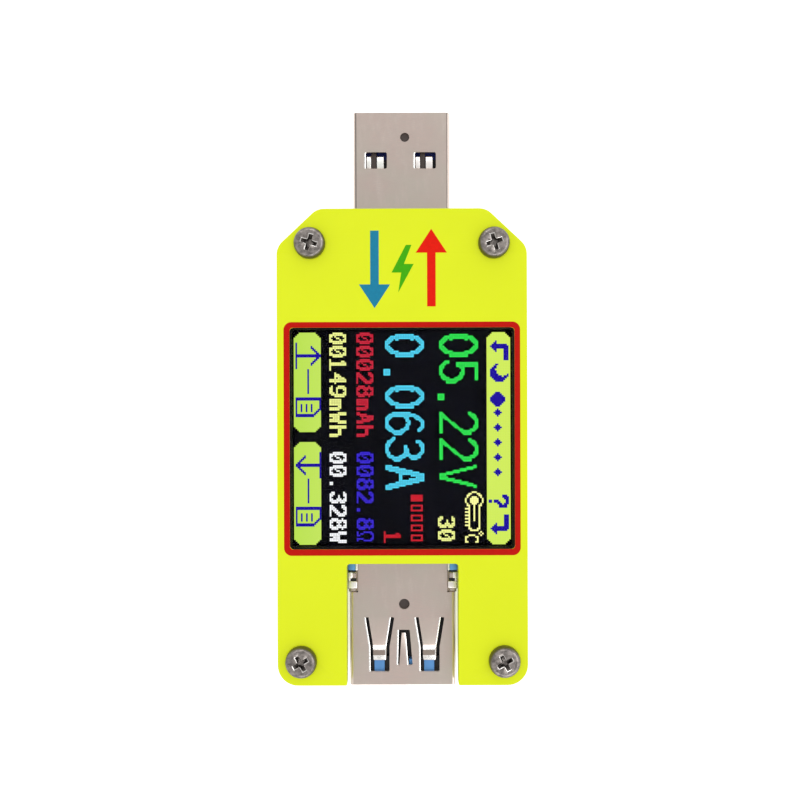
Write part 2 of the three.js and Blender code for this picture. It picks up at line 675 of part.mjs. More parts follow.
for (const { name, side, y } of BUTTONS) {
  const low = y - SWITCH_HALF_LENGTH;
  const high = y + SWITCH_HALF_LENGTH;
  const base = cut(
    solidOf(sideBlock(side, SWITCH_INNER_X, SWITCH_OUTER_X, low, high, SWITCH_Z, BOARD_Z)),
    // The plunger's pocket, open at the outer face, with room for its travel.
    sideBlock(
      side,
      SWITCH_OUTER_X - 1.5,
      SWITCH_OUTER_X + 1,
      y - PLUNGER_HALF_LENGTH - 0.1,
      y + PLUNGER_HALF_LENGTH + 0.1,
      PLUNGER_Z[0] - 0.1,
      PLUNGER_Z[1] + 0.1,
    ),
  );
  addPiece(`button_base_${name}`, base, BLACK_PLASTIC);

  const coverEnds = [-1, 1].map((end) => {
    const outer = y + end * (SWITCH_HALF_LENGTH + 0.05 + COVER_SHEET);
    const inner = y + end * (SWITCH_HALF_LENGTH + 0.05);
    const [y0, y1] = [outer, inner].sort((a, b) => a - b);
    return sideBlock(side, SWITCH_INNER_X + 0.5, SWITCH_OUTER_X - 0.5, y0, y1, SWITCH_Z - 0.15, BOARD_Z);
  });
  const cover = join(
    sideBlock(
      side,
      SWITCH_INNER_X + 0.1,
      SWITCH_OUTER_X,
      low - 0.1,
      high + 0.1,
      SWITCH_Z - 0.05 - COVER_SHEET,
      SWITCH_Z - 0.05,
    ),
    ...coverEnds,
  );
  addPiece(`button_cover_${name}`, cover, STEEL);

  const plunger = sideBlock(
    side,
    SWITCH_OUTER_X - 1.5 + BUTTON_TRAVEL + 0.1,
    HALF_WIDTH,
    y - PLUNGER_HALF_LENGTH,
    y + PLUNGER_HALF_LENGTH,
    ...PLUNGER_Z,
  );
  addPiece(`button_plunger_${name}`, plunger, BLACK_PLASTIC);
}

// ---------------------------------------------------------------- electronics
// Each part is a block [name, material, x, y, size x, size y, size z, face], face 1 on the board's top.
const ELECTRONICS = [
  ["controller_chip", BLACK_PLASTIC, 0, -5.0, 7.0, 7.0, 1.4, -1],
  ["current_shunt", BLACK_PLASTIC, 0, 8.6, 6.4, 3.2, 0.7, -1],
  ["sense_amplifier", BLACK_PLASTIC, 6.8, 8.4, 3.0, 3.0, 1.0, -1],
  ["memory_chip", BLACK_PLASTIC, -7.4, -13.2, 4.9, 3.9, 1.5, -1],
  ["clock_crystal", CRYSTAL_STEEL, 7.6, -6.2, 3.2, 5.0, 1.1, -1],
  ["supply_regulator", BLACK_PLASTIC, -11.4, -25.0, 2.5, 4.5, 1.5, 1],
  ["input_capacitor", TANTALUM, 10.2, 14.2, 3.5, 2.8, 1.9, 1],
  ["output_capacitor", TANTALUM, 11.4, -25.0, 2.8, 3.5, 1.9, 1],
];
for (const [name, material, x, y, sizeX, sizeY, sizeZ, face] of ELECTRONICS) {
  const [z0, z1] = face > 0 ? [BOARD_TOP_Z, BOARD_TOP_Z + sizeZ] : [BOARD_Z - sizeZ, BOARD_Z];
  const body = block(x - sizeX / 2, x + sizeX / 2, y - sizeY / 2, y + sizeY / 2, z0, z1);
  addPiece(name, body, material);
}

export default meter;
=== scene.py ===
"""Looks for the USB power meter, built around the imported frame.

Sizes are in millimetres unless a comment says otherwise.
"""
import math

import bmesh
import bpy
from mathutils import Matrix, Vector


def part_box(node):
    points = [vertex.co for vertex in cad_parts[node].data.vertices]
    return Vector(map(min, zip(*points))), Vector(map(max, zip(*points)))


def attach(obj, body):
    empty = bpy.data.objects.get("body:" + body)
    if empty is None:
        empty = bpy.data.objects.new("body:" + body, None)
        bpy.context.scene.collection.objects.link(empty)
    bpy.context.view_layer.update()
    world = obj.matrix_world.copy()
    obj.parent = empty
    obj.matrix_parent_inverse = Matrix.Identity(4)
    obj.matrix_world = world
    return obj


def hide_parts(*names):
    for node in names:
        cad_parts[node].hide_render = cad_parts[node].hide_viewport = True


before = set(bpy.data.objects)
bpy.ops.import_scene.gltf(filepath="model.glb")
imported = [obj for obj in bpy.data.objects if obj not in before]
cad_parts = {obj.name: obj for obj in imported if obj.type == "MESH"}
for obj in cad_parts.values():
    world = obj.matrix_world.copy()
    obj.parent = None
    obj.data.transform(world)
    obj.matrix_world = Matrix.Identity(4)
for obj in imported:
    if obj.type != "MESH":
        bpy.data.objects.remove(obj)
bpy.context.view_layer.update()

MM = 0.001
ROOT = "meter"


def limits(node):
    """A CAD node's lowest and highest corners, in millimetres."""
    low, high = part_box(node)
    return low / MM, high / MM


# ---------------------------------------------------------------- places taken from the frame
PLATE_LOW, PLATE_HIGH = limits("front_plate")
REAR_LOW, REAR_HIGH = limits("rear_plate")
BOARD_LOW, BOARD_HIGH = limits("main_board")
PLUG_LOW, PLUG_HIGH = limits("plug_shell")
SOCKET_LOW, SOCKET_HIGH = limits("socket_shell")
GLASS_LOW, GLASS_HIGH = limits("lcd_glass")
WINDOW_LOW, WINDOW_HIGH = limits("display_window")
FRONT_FACE = PLATE_HIGH.z
HALF_WIDTH = PLATE_HIGH.x
BOARD_TOP = BOARD_HIGH.z
BOARD_UNDER = BOARD_LOW.z
TIP_Y = PLUG_HIGH.y
MOUTH_Y = SOCKET_LOW.y
SOCKET_REAR_Y = SOCKET_HIGH.y
PLUG_REAR_Y = PLUG_LOW.y
SCREW_PLACES = ("plug_left", "plug_right", "socket_left", "socket_right")
BUTTONS = ("left_upper", "left_lower", "right_upper", "right_lower")

# Shapes that the frame's boxes don't give.
NOTCH_END_Y = SOCKET_REAR_Y + 0.1
FRONT_NOTCH_HALF = 6.8
REAR_NOTCH_HALF = 7.6
BOARD_NOTCH_HALF = 7.2
BOARD_NOTCH_END_Y = SOCKET_REAR_Y + 0.5
NOTCH_ROUND = 0.4
NOTCH_MOUTH_ROUND = 0.15
TOP_CHAMFER_X = 4.95
TOP_CHAMFER_Y = 4.65
CHAMFER_ROUND = 2.2
BOTTOM_ROUND = 2.5
SHEET = 0.3  # both shells' steel
TUBE_ROUND = 0.45  # their corners, outside
TUBE_INNER_ROUND = 0.18
PLUG_HALF = 6.0
SOCKET_HALF = 6.55
CONTACT_X = (-3.5, -1.0, 1.0, 3.5)
FAST_CONTACT_X = (-4.0, -2.0, 0.0, 2.0, 4.0)
CONTACT_THICKNESS = 0.14
FINE_BEVEL = 0.03


# ---------------------------------------------------------------- mesh helpers, all in millimetres
def arc_corner(before, corner, after, radius, steps):
    """Points round one corner of an outline."""
    here = Vector(corner)
    back = (Vector(before) - here).normalized()
    on = (Vector(after) - here).normalized()
    half = back.angle(on) / 2
    centre = here + (back + on).normalized() * radius / math.sin(half)
    start = here + back * radius / math.tan(half) - centre
    end = here + on * radius / math.tan(half) - centre
    sweep = start.angle_signed(end)  # clockwise is positive
    points = []
    for i in range(steps + 1):
        turn = -sweep * i / steps
        c, s = math.cos(turn), math.sin(turn)
        points.append((centre.x + start.x * c - start.y * s, centre.y + start.x * s + start.y * c))
    return points


def rounded(corners, steps=10):
    """A closed outline from corners (x, y, radius)."""
    points = []
    for i, (x, y, radius) in enumerate(corners):
        if not radius:
            points.append((x, y))
            continue
        before = corners[i - 1][:2]
        after = corners[(i + 1) % len(corners)][:2]
        points += arc_corner(before, (x, y), after, radius, steps)
    return points


def rectangle(x0, x1, y0, y1, radius, steps=10):
    """A rectangle with rounded corners."""
    corners = ((x0, y0), (x1, y0), (x1, y1), (x0, y1))
    return rounded([(x, y, radius) for x, y in corners], steps)


def circle(x, y, radius, steps=48):
    """A round outline."""
    turns = (2 * math.pi * i / steps for i in range(steps))
    return [(x + radius * math.cos(t), y + radius * math.sin(t)) for t in turns]


def evaluated(obj):
    """The object's mesh with its modifiers applied, as a bmesh. The object is removed."""
    graph = bpy.context.evaluated_depsgraph_get()
    mesh = bpy.data.meshes.new_from_object(obj.evaluated_get(graph), depsgraph=graph)
    out = bmesh.new()
    out.from_mesh(mesh)
    bpy.data.objects.remove(obj)
    bpy.data.meshes.remove(mesh)
    return out


def temporary(bm):
    """A linked object holding a bmesh, which is used up."""
    mesh = bpy.data.meshes.new("temporary")
    bm.to_mesh(mesh)
    bm.free()
    for _ in range(3):  # empty slots, so that booleans keep each face's material index
        mesh.materials.append(None)
    obj = bpy.data.objects.new("temporary", mesh)
    bpy.context.scene.collection.objects.link(obj)
    return obj


def slab(loops, z0, z1, bevel=0.0):
    """Outlines with holes, extruded along Z with rounded edges."""
    curve = bpy.data.curves.new("outline", "CURVE")
    curve.dimensions = "2D"
    curve.fill_mode = "BOTH"
    curve.extrude = (z1 - z0) / 2 - bevel
    curve.bevel_depth = bevel
    curve.bevel_resolution = 2
    curve.offset = -bevel
    for loop in loops:
        spline = curve.splines.new("POLY")
        spline.points.add(len(loop) - 1)
        for point, (x, y) in zip(spline.points, loop):
            point.co = (x, y, 0, 1)
        spline.use_cyclic_u = True
    obj = bpy.data.objects.new("outline", curve)
    bpy.context.scene.collection.objects.link(obj)
    bpy.context.view_layer.update()
    bm = evaluated(obj)
    bpy.data.curves.remove(curve)
    bmesh.ops.remove_doubles(bm, verts=bm.verts, dist=1e-4)
    bmesh.ops.translate(bm, verts=bm.verts, vec=(0, 0, (z0 + z1) / 2))
    bmesh.ops.recalc_face_normals(bm, faces=bm.faces)
    return bm


def standing(bm):
    """Turns a shape drawn in X and Y and extruded along Z into one drawn in X and Z and extruded along Y."""
    for vertex in bm.verts:
        x, y, z = vertex.co
        vertex.co = (x, z, y)
    bmesh.ops.recalc_face_normals(bm, faces=bm.faces)
    return bm


def box(x0, x1, y0, y1, z0, z1, bevel=0.0, steps=2):
    """A box between two corners, with rounded edges."""
    bm = bmesh.new()
    bmesh.ops.create_cube(bm, size=1)
    bmesh.ops.scale(bm, verts=bm.verts, vec=(abs(x1 - x0), abs(y1 - y0), abs(z1 - z0)))
    bmesh.ops.translate(bm, verts=bm.verts, vec=((x0 + x1) / 2, (y0 + y1) / 2, (z0 + z1) / 2))
    if bevel:
        bmesh.ops.bevel(
            bm, geom=bm.edges[:], offset=bevel, segments=steps, affect="EDGES", profile=0.5
        )
    return bm


def filling(low, high, bevel, steps=2):
    """A box that fills the space between a lowest and a highest corner."""
    return box(low.x, high.x, low.y, high.y, low.z, high.z, bevel, steps)


def lathe(profile, x=0.0, y=0.0, steps=48):
    """A profile of (radius, z) turned round a vertical axis. Radius 0 closes an end."""
    bm = bmesh.new()
    rings = []
    for radius, z in profile:
        if radius == 0:
            rings.append([bm.verts.new((x, y, z))])
            continue
        rings.append([bm.verts.new((px, py, z)) for px, py in circle(x, y, radius, steps)])
    for low, high in zip(rings, rings[1:]):
        for i in range(steps):
            j = (i + 1) % steps
            corners = [low[i % len(low)], low[j % len(low)], high[j % len(high)], high[i % len(high)]]
            bm.faces.new(list(dict.fromkeys(corners)))
    for ring, wanted in ((rings[0], profile[0]), (rings[-1], profile[-1])):
        if wanted[0]:
            bm.faces.new(ring)
    bmesh.ops.recalc_face_normals(bm, faces=bm.faces)
    return bm


def strip(stations, thickness, chamfer=0.0, bright=(), dull=()):
    """A bent strip of sheet. Each station is (x, y, z, half width), and the strip runs along Y.

    A chamfer on its right-hand edge, and the spans listed in bright, take material 1. Those in dull take 2.
    """
    bm = bmesh.new()
    rings = []
    for i, (x, y, z, half) in enumerate(stations):
        before = Vector(stations[max(i - 1, 0)][1:3])
        after = Vector(stations[min(i + 1, len(stations) - 1)][1:3])
        along = (after - before).normalized()
        up = Vector((-along.y, along.x))
        if up.y < 0:
            up = -up
        section = [(-half, 0), (half, 0), (half, thickness), (-half, thickness)]
        if chamfer:
            section[2:3] = [(half, thickness - 0.45 * chamfer), (half - chamfer, thickness)]
        rings.append([bm.verts.new((x + sx, y + up.x * rise, z + up.y * rise)) for sx, rise in section])
    count = len(rings[0])
    top = count - 2
    for number, (low, high) in enumerate(zip(rings, rings[1:])):
        for i in range(count):
            j = (i + 1) % count
            face = bm.faces.new((low[i], low[j], high[j], high[i]))
            if (chamfer and i == 2) or (number in bright and i == top):
                face.material_index = 1
            elif number in dull and i == top:
                face.material_index = 2
    bm.faces.new(rings[0])
    bm.faces.new(rings[-1])
    bmesh.ops.recalc_face_normals(bm, faces=bm.faces)
    return bm


def sheared(outline, z0, z1, shift):
    """An outline extruded along Z whose walls lean: its top stands off along X."""
    bm = bmesh.new()
    low = [bm.verts.new((x, y, z0)) for x, y in outline]
    high = [bm.verts.new((x + shift, y, z1)) for x, y in outline]
    for i in range(len(outline)):
        j = (i + 1) % len(outline)
        bm.faces.new((low[i], low[j], high[j], high[i]))
    bm.faces.new(low)
    bm.faces.new(high)
    bmesh.ops.recalc_face_normals(bm, faces=bm.faces)
    return bm


def punched(outline, sheet_z, way):
    """Cutters for a punched hole: the hole, and a slope on its left wall that takes the pale edge steel as a
    painted highlight.
    """
    depth, width, reach = 0.09, 0.2, 0.6
    hole = slab([outline], sheet_z - reach, sheet_z + reach)
    if way > 0:
        slope = sheared(outline, sheet_z - depth, sheet_z + depth, -2 * width)
    else:
        slope = sheared([(x - 2 * width, y) for x, y in outline], sheet_z - depth, sheet_z + depth, 2 * width)
    return [hole, tagged(slope, 1)]


def merged(*parts):
    """Several bmeshes as one, overlapping where they meet."""
    whole = bmesh.new()
    for part in parts:
        mesh = bpy.data.meshes.new("part")
        part.to_mesh(mesh)
        part.free()
        whole.from_mesh(mesh)
        bpy.data.meshes.remove(mesh)
    return whole


def combined(bm, operation, *others):
    """One bmesh combined with others by an exact boolean."""
    target = temporary(bm)
    tools = [temporary(other) for other in others]
    for tool in tools:
        modifier = target.modifiers.new("boolean", "BOOLEAN")
        modifier.operation = operation
        modifier.solver = "EXACT"
        modifier.object = tool
    bpy.context.view_layer.update()
    out = evaluated(target)
    for tool in tools:
        bpy.data.objects.remove(tool)
    bmesh.ops.remove_doubles(out, verts=out.verts, dist=1e-4)
    return out


def cut(bm, *tools):
    """A bmesh with others cut out of it."""
    return combined(bm, "DIFFERENCE", *tools)


def joined(bm, *others):
    """Overlapping bmeshes as one clean solid."""
    return combined(bm, "UNION", *others)


def softened(bm, width, steps=2, angle=40):
    """Rounds the edges of a bmesh that are sharper than an angle in degrees."""
    obj = temporary(bm)
    modifier = obj.modifiers.new("bevel", "BEVEL")
    modifier.width = width
    modifier.segments = steps
    modifier.limit_method = "ANGLE"
    modifier.angle_limit = math.radians(angle)
    bpy.context.view_layer.update()
    return evaluated(obj)


def tagged(bm, index):
    """Gives every face the same material index, which booleans carry over."""
    for face in bm.faces:
        face.material_index = index
    return bm


def moved(bm, x=0.0, y=0.0, z=0.0):
    """Shifts a bmesh."""
    bmesh.ops.translate(bm, verts=bm.verts, vec=(x, y, z))
    return bm


def turned(bm, angle, axis="Z"):
    """Turns a bmesh about an axis through the origin."""
    bmesh.ops.rotate(bm, verts=bm.verts, cent=(0, 0, 0), matrix=Matrix.Rotation(angle, 3, axis))
    return bm


def mirrored(bm):
    """Mirrors a bmesh from the right-hand side to the left."""
    for vertex in bm.verts:
        vertex.co.x = -vertex.co.x
    bmesh.ops.reverse_faces(bm, faces=bm.faces)
    return bm


def piece(name, bm, material, replaces=(), body=ROOT, smooth=35, edges=()):
    """Adds one shown piece that rides on a body, from a bmesh in millimetres.

    Its tagged faces take the materials in edges, by index from 1, or its own material if there are none.
    """
    bmesh.ops.scale(bm, verts=bm.verts, vec=(MM, MM, MM))
    mesh = bpy.data.meshes.new(name)
    bm.to_mesh(mesh)
    bm.free()
    mesh.polygons.foreach_set("use_smooth", [True] * len(mesh.polygons))
    mesh.set_sharp_from_angle(angle=math.radians(smooth))
    if not edges:
        mesh.polygons.foreach_set("material_index", [0] * len(mesh.polygons))
    mesh.materials.append(material)
    for other in edges:
        mesh.materials.append(other)
    obj = bpy.data.objects.new(name, mesh)
    bpy.context.scene.collection.objects.link(obj)
    weighted = obj.modifiers.new("flat_faces", "WEIGHTED_NORMAL")
    weighted.keep_sharp = True
    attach(obj, body)
    if replaces:
        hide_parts(*([replaces] if isinstance(replaces, str) else replaces))
    return obj


# ---------------------------------------------------------------- material helpers
def srgb(red, green, blue):
    """A display colour of 0 to 255 a channel, as linear light."""
    def linear(value):
        value /= 255
        return value / 12.92 if value <= 0.04045 else ((value + 0.055) / 1.055) ** 2.4

    return (linear(red), linear(green), linear(blue), 1.0)


def scaled(color, factor):
    """A colour made lighter or darker."""
    return (*(min(1.0, c * factor) for c in color[:3]), 1.0)


class Finish:
    """One procedural material. Its textures are laid out in millimetres."""

    def __init__(self, name, color, roughness=0.5, metallic=0.0, ior=1.45):
        self.material = bpy.data.materials.new(name)
        self.material.use_nodes = True
        self.tree = self.material.node_tree
        self.shader = self.tree.nodes["Principled BSDF"]
        self.color = color
        self.shader.inputs["Base Color"].default_value = color
        self.shader.inputs["Roughness"].default_value = roughness
        self.shader.inputs["Metallic"].default_value = metallic
        self.shader.inputs["IOR"].default_value = ior
        self.height = None

    def node(self, kind, **settings):
        """A new node with some of its settings."""
        made = self.tree.nodes.new(kind)
        for key, value in settings.items():
            setattr(made, key, value)
        return made

    def link(self, source, target):
        """A wire from one socket to another."""
        self.tree.links.new(source, target)

    def coordinates(self, stretch=(1, 1, 1)):
        """Object coordinates in millimetres, stretched along each axis."""
        place = self.node("ShaderNodeTexCoord")
        mapping = self.node("ShaderNodeMapping")
        mapping.inputs["Scale"].default_value = [s / MM for s in stretch]
        self.link(place.outputs["Object"], mapping.inputs["Vector"])
        return mapping.outputs["Vector"]

    def noise(self, scale, stretch=(1, 1, 1), detail=4.0, roughness=0.55):
        """Noise whose features are about 1 / scale millimetres wide."""
        made = self.node("ShaderNodeTexNoise")
        made.inputs["Scale"].default_value = scale
        made.inputs["Detail"].default_value = detail
        made.inputs["Roughness"].default_value = roughness
        self.link(self.coordinates(stretch), made.inputs["Vector"])
        return made.outputs["Fac"]

    def ramp(self, factor, from_low, from_high, low, high):
        """A factor's range from_low to from_high, laid onto low to high."""
        made = self.node("ShaderNodeMapRange")
        values = (from_low, from_high, low, high)
        for socket, value in zip(("From Min", "From Max", "To Min", "To Max"), values):
            made.inputs[socket].default_value = value
        self.link(factor, made.inputs["Value"])
        return made.outputs["Result"]

    def math(self, operation, first, second=0.5):
        """A math node on sockets or numbers."""
        made = self.node("ShaderNodeMath", operation=operation)
        for socket, value in zip(made.inputs, (first, second)):
            if isinstance(value, (int, float)):
                socket.default_value = value
            else:
                self.link(value, socket)
        return made.outputs[0]

    def mix(self, factor, first, second):
        """Two colours, or sockets, mixed by a factor."""
        made = self.node("ShaderNodeMix", data_type="RGBA")
        self.link(factor, made.inputs["Factor"])
        for name, value in (("A", first), ("B", second)):
            socket = [s for s in made.inputs if s.name == name and s.type == "RGBA"][0]
            if isinstance(value, (tuple, list)):
                socket.default_value = value
            else:
                self.link(value, socket)
        return [s for s in made.outputs if s.type == "RGBA"][0]

    def facing_up(self):
        """1 on faces square to Z, 0 on upright ones."""
        geometry = self.node("ShaderNodeNewGeometry")
        split = self.node("ShaderNodeSeparateXYZ")
        self.link(geometry.outputs["Normal"], split.inputs["Vector"])
        return self.math("ABSOLUTE", split.outputs["Z"])

    def paint(self, socket):
        """The base colour."""
        self.link(socket, self.shader.inputs["Base Color"])
        return self

    def polish(self, socket):
        """The roughness."""
        self.link(socket, self.shader.inputs["Roughness"])
        return self

    def bump(self, socket, depth, strength):
        """Relief of a depth in millimetres. Each call stacks on the one before."""
        made = self.node("ShaderNodeBump")
        made.inputs["Strength"].default_value = strength
        made.inputs["Distance"].default_value = depth * MM
        self.link(socket, made.inputs["Height"])
        if self.height:
            self.link(self.height, made.inputs["Normal"])
        self.height = made.outputs["Normal"]
        self.link(self.height, self.shader.inputs["Normal"])
        return self

    def set(self, **sockets):
        """Constant values on the shader's own sockets, with _ for a space."""
        for name, value in sockets.items():
            self.shader.inputs[name.replace("_", " ")].default_value = value
        return self


# ---------------------------------------------------------------- materials
def acrylic():
    """Glossy yellow sheet: faint mottling, fine scratches, and edges left satin by the cutter."""
    yellow = (0.635, 0.715, 0.016, 1.0)
    made = Finish("yellow_acrylic", yellow, 0.14, ior=1.2)
    cloud = made.ramp(made.noise(0.12), 0.3, 0.7, 0.0, 1.0)
    face = made.mix(cloud, scaled(yellow, 0.985), scaled(yellow, 1.015))
    up = made.ramp(made.facing_up(), 0.35, 0.75, 0.0, 1.0)
    streak = made.ramp(made.noise(2.0, (1, 1, 0.1)), 0.3, 0.7, 0.0, 1.0)
    edge = made.mix(streak, scaled(yellow, 0.88), (0.68, 0.76, 0.05, 1))
    made.paint(made.mix(up, edge, face))
    scratch = made.noise(1.5, (1.0, 12.0, 1.0), detail=6)
    gloss = made.ramp(scratch, 0.45, 0.75, 0.10, 0.2)
    rough = made.node("ShaderNodeMix", data_type="FLOAT")
    made.link(up, rough.inputs["Factor"])
    rough.inputs["A"].default_value = 0.42
    made.link(gloss, rough.inputs["B"])
    made.polish(rough.outputs["Result"])
    made.bump(made.noise(0.35), 0.01, 0.25)
    made.bump(made.noise(9.0, (1, 1, 0.06)), 0.006, 0.35)
    return made.material


def clear_pane():
    """The window: clear, hardly reflecting, with a few hairline scratches in its gloss."""
    made = Finish("clear_window", (1, 1, 1, 1), 0.0, ior=1.1)
    made.set(Transmission_Weight=1.0)
    made.polish(made.ramp(made.noise(2.0, (14.0, 1.0, 1.0), detail=6), 0.62, 0.8, 0.0, 0.03))
    return made.material


def ink(name, color):
    """Screen-printed ink: a little uneven in density, with a fine grain."""
    made = Finish(name, color, 0.4, ior=1.2)
    cover = made.ramp(made.noise(3.0, detail=5), 0.35, 0.65, 0.0, 1.0)
    made.paint(made.mix(cover, scaled(color, 0.94), scaled(color, 1.05)))
    made.polish(made.ramp(made.noise(20.0), 0.3, 0.7, 0.32, 0.48))
    made.bump(made.noise(25.0), 0.003, 0.4)
    return made.material


def panel_black():
    """The display's dark glass, a touch blue where the backlight leaks."""
    made = Finish("display_glass", (0.0015, 0.0015, 0.004, 1), 0.08, ior=1.1)
    leak = made.ramp(made.noise(0.08), 0.35, 0.7, 0.0, 1.0)
    made.paint(made.mix(leak, (0.001, 0.001, 0.003, 1), (0.0024, 0.0024, 0.0062, 1)))
    made.polish(made.ramp(made.noise(6.0), 0.3, 0.7, 0.05, 0.12))
    return made.material


def lit(name, color, strength=1.1, fade=None, gap=0.62):
    """Lit display cells: the colour dims in the dark lines between them."""
    made = Finish(name, (0, 0, 0, 1), 0.5, ior=1.1)
    split = made.node("ShaderNodeSeparateXYZ")
    made.link(made.coordinates(), split.inputs["Vector"])
    lines = None
    for axis, start, pitch in (("X", LCD_LEFT, PITCH_X), ("Y", LCD_TOP, PITCH_Y)):
        distance = made.math("SUBTRACT", split.outputs[axis], start)
        cell = made.math("FRACT", made.math("DIVIDE", distance, pitch))
        wall = made.math("ABSOLUTE", made.math("SUBTRACT", cell, 0.5))
        dark = made.ramp(wall, 0.37, 0.46, 0.0, 1.0)
        lines = dark if lines is None else made.math("MAXIMUM", lines, dark)
    glow = color
    if fade:
        along = made.ramp(split.outputs["X"], fade[1], fade[2], 0.0, 1.0)
        glow = made.mix(along, fade[0], color)
    made.link(made.mix(lines, glow, scaled(color, gap)), made.shader.inputs["Emission Color"])
    made.set(Emission_Strength=strength)
    return made.material


def plated_steel(name, color, grain=(1.0, 14.0, 1.0), rough=(0.28, 0.4), bend=0.3):
    """Nickel-plated sheet: pinkish and greenish clouds, rolling grain, scuffs, a painted shade line at each
    bend, and steep sides painted lighter as a highlight.

    bend is how bright the painted line at the bend is: 0 leaves out the line and the lighter sides, and above
    1 the bend is painted pale as a highlight and made dull.
    """
    made = Finish(name, color, 0.35, 1.0)
    cloud = made.ramp(made.noise(0.16, detail=3), 0.4, 0.6, 0.0, 1.0)
    warm = (color[0] * 1.05, color[1] * 0.975, color[2] * 0.97, 1)
    cool = (color[0] * 0.94, color[1] * 1.0, color[2] * 0.95, 1)
    tinted = made.mix(cloud, warm, cool)
    rolled = made.ramp(made.noise(1.6, grain, detail=8), 0.35, 0.65, 0.0, 1.0)
    scuffed = made.ramp(made.noise(0.9, (1.0, 0.25, 1.0), detail=9, roughness=0.7), 0.52, 0.7, 0.0, 1.0)
    worn = made.mix(scuffed, tinted, scaled(color, 1.12))
    plain = made.mix(cloud, scaled(color, 0.95), color)
    face = made.mix(rolled, worn, plain)
    # Painted light by how far a face leans: the band where a bend starts is scaled by bend, painted shade
    # below 1 and painted highlight above it, and the steep sides beyond are painted lighter as a highlight.
    if bend:
        up = made.facing_up()
        leaning = made.ramp(up, 0.985, 0.998, 1.0, 0.0)
        start = made.math("MULTIPLY", leaning, made.ramp(up, 0.86, 0.93, 0.0, 1.0))
        beyond = made.ramp(up, 0.8, 0.9, 1.0, 0.0)
        face = made.mix(start, face, scaled(color, bend))
        face = made.mix(beyond, face, scaled(color, 1.25))
        if bend > 1:
            made.link(made.ramp(up, 0.5, 0.99, 0.25, 1.0), made.shader.inputs["Metallic"])
    made.paint(face)
    made.polish(made.ramp(made.noise(1.2, grain, detail=7), 0.25, 0.75, *rough))
    made.bump(made.noise(6.0, grain, detail=8), 0.003, 0.3)
    made.bump(made.noise(0.45, detail=2), 0.03, 0.25)
    return made.material


def cut_edge_highlight():
    """Bare punched edges with fine shear marks across them; their pale colour is partly bare steel and partly
    a painted highlight.
    """
    made = Finish("cut_edge_highlight", (0.9, 0.88, 0.85, 1), 0.22, 1.0)
    shear = made.ramp(made.noise(5.0, (1, 1, 0.2), detail=5), 0.35, 0.65, 0.0, 1.0)
    made.paint(made.mix(shear, (0.8, 0.77, 0.73, 1), (0.98, 0.96, 0.93, 1)))
    made.polish(made.ramp(made.noise(3.0), 0.3, 0.7, 0.15, 0.3))
    made.bump(shear, 0.004, 0.3)
    return made.material


def screw_steel():
    """Dull nickel on a pressed head: pitted and blotchy, with painted shade on the steep faces round the rim.
    """
    color = (0.235, 0.21, 0.195, 1)
    made = Finish("nickel_screw", color, 0.36, 1.0)
    blotch = made.ramp(made.noise(1.8, detail=8, roughness=0.7), 0.38, 0.62, 0.0, 1.0)
    face = made.mix(blotch, scaled(color, 0.6), scaled(color, 1.5))
    # painted shade: faces that lean towards upright are darkened
    rim = made.ramp(made.facing_up(), 0.35, 0.85, 1.0, 0.0)
    made.paint(made.mix(rim, face, scaled(color, 0.55)))
    made.polish(made.ramp(made.noise(3.0, detail=6), 0.3, 0.7, 0.3, 0.5))
    made.bump(made.noise(3.5, detail=7), 0.05, 0.6)
    return made.material


def turned_metal(name, color, rough=(0.18, 0.34)):
    """Bar stock turned on a lathe: fine rings along its length."""
    made = Finish(name, color, 0.25, 1.0)
    tarnish = made.ramp(made.noise(0.9, detail=5), 0.35, 0.7, 0.0, 1.0)
    made.paint(made.mix(tarnish, color, (color[0] * 0.78, color[1] * 0.7, color[2] * 0.6, 1)))
    made.polish(made.ramp(made.noise(2.0, (1, 1, 16.0), detail=6), 0.3, 0.7, *rough))
    made.bump(made.noise(1.5, (1, 1, 22.0), detail=4), 0.006, 0.4)
    return made.material


def gold():
    """Gold flash over nickel, rubbed a little where it wipes."""
    color = (0.78, 0.52, 0.16, 1)
    made = Finish("gold_plate", color, 0.22, 1.0)
    rubbed = made.ramp(made.noise(1.8, (5.0, 1.0, 1.0), detail=6), 0.55, 0.8, 0.0, 1.0)
    made.paint(made.mix(rubbed, color, (0.62, 0.5, 0.3, 1)))
    made.polish(made.ramp(made.noise(4.0, (8.0, 1.0, 1.0), detail=5), 0.3, 0.7, 0.14, 0.32))
    made.bump(made.noise(8.0, (8.0, 1.0, 1.0)), 0.003, 0.4)
    return made.material


def moulded(name, color, rough=(0.35, 0.5), grain=6.0, ior=1.45):
    """Moulded plastic: an even colour with slight flow marks and a fine spark-eroded grain."""
    made = Finish(name, color, 0.4, ior=ior)
    flow = made.ramp(made.noise(0.5, (1.0, 0.3, 1.0), detail=5), 0.3, 0.7, 0.0, 1.0)
    made.paint(made.mix(flow, scaled(color, 0.88), scaled(color, 1.1)))
    made.polish(made.ramp(made.noise(grain, detail=5), 0.3, 0.7, *rough))
    made.bump(made.noise(grain * 2.5, detail=3), 0.006, 0.4)
    return made.material


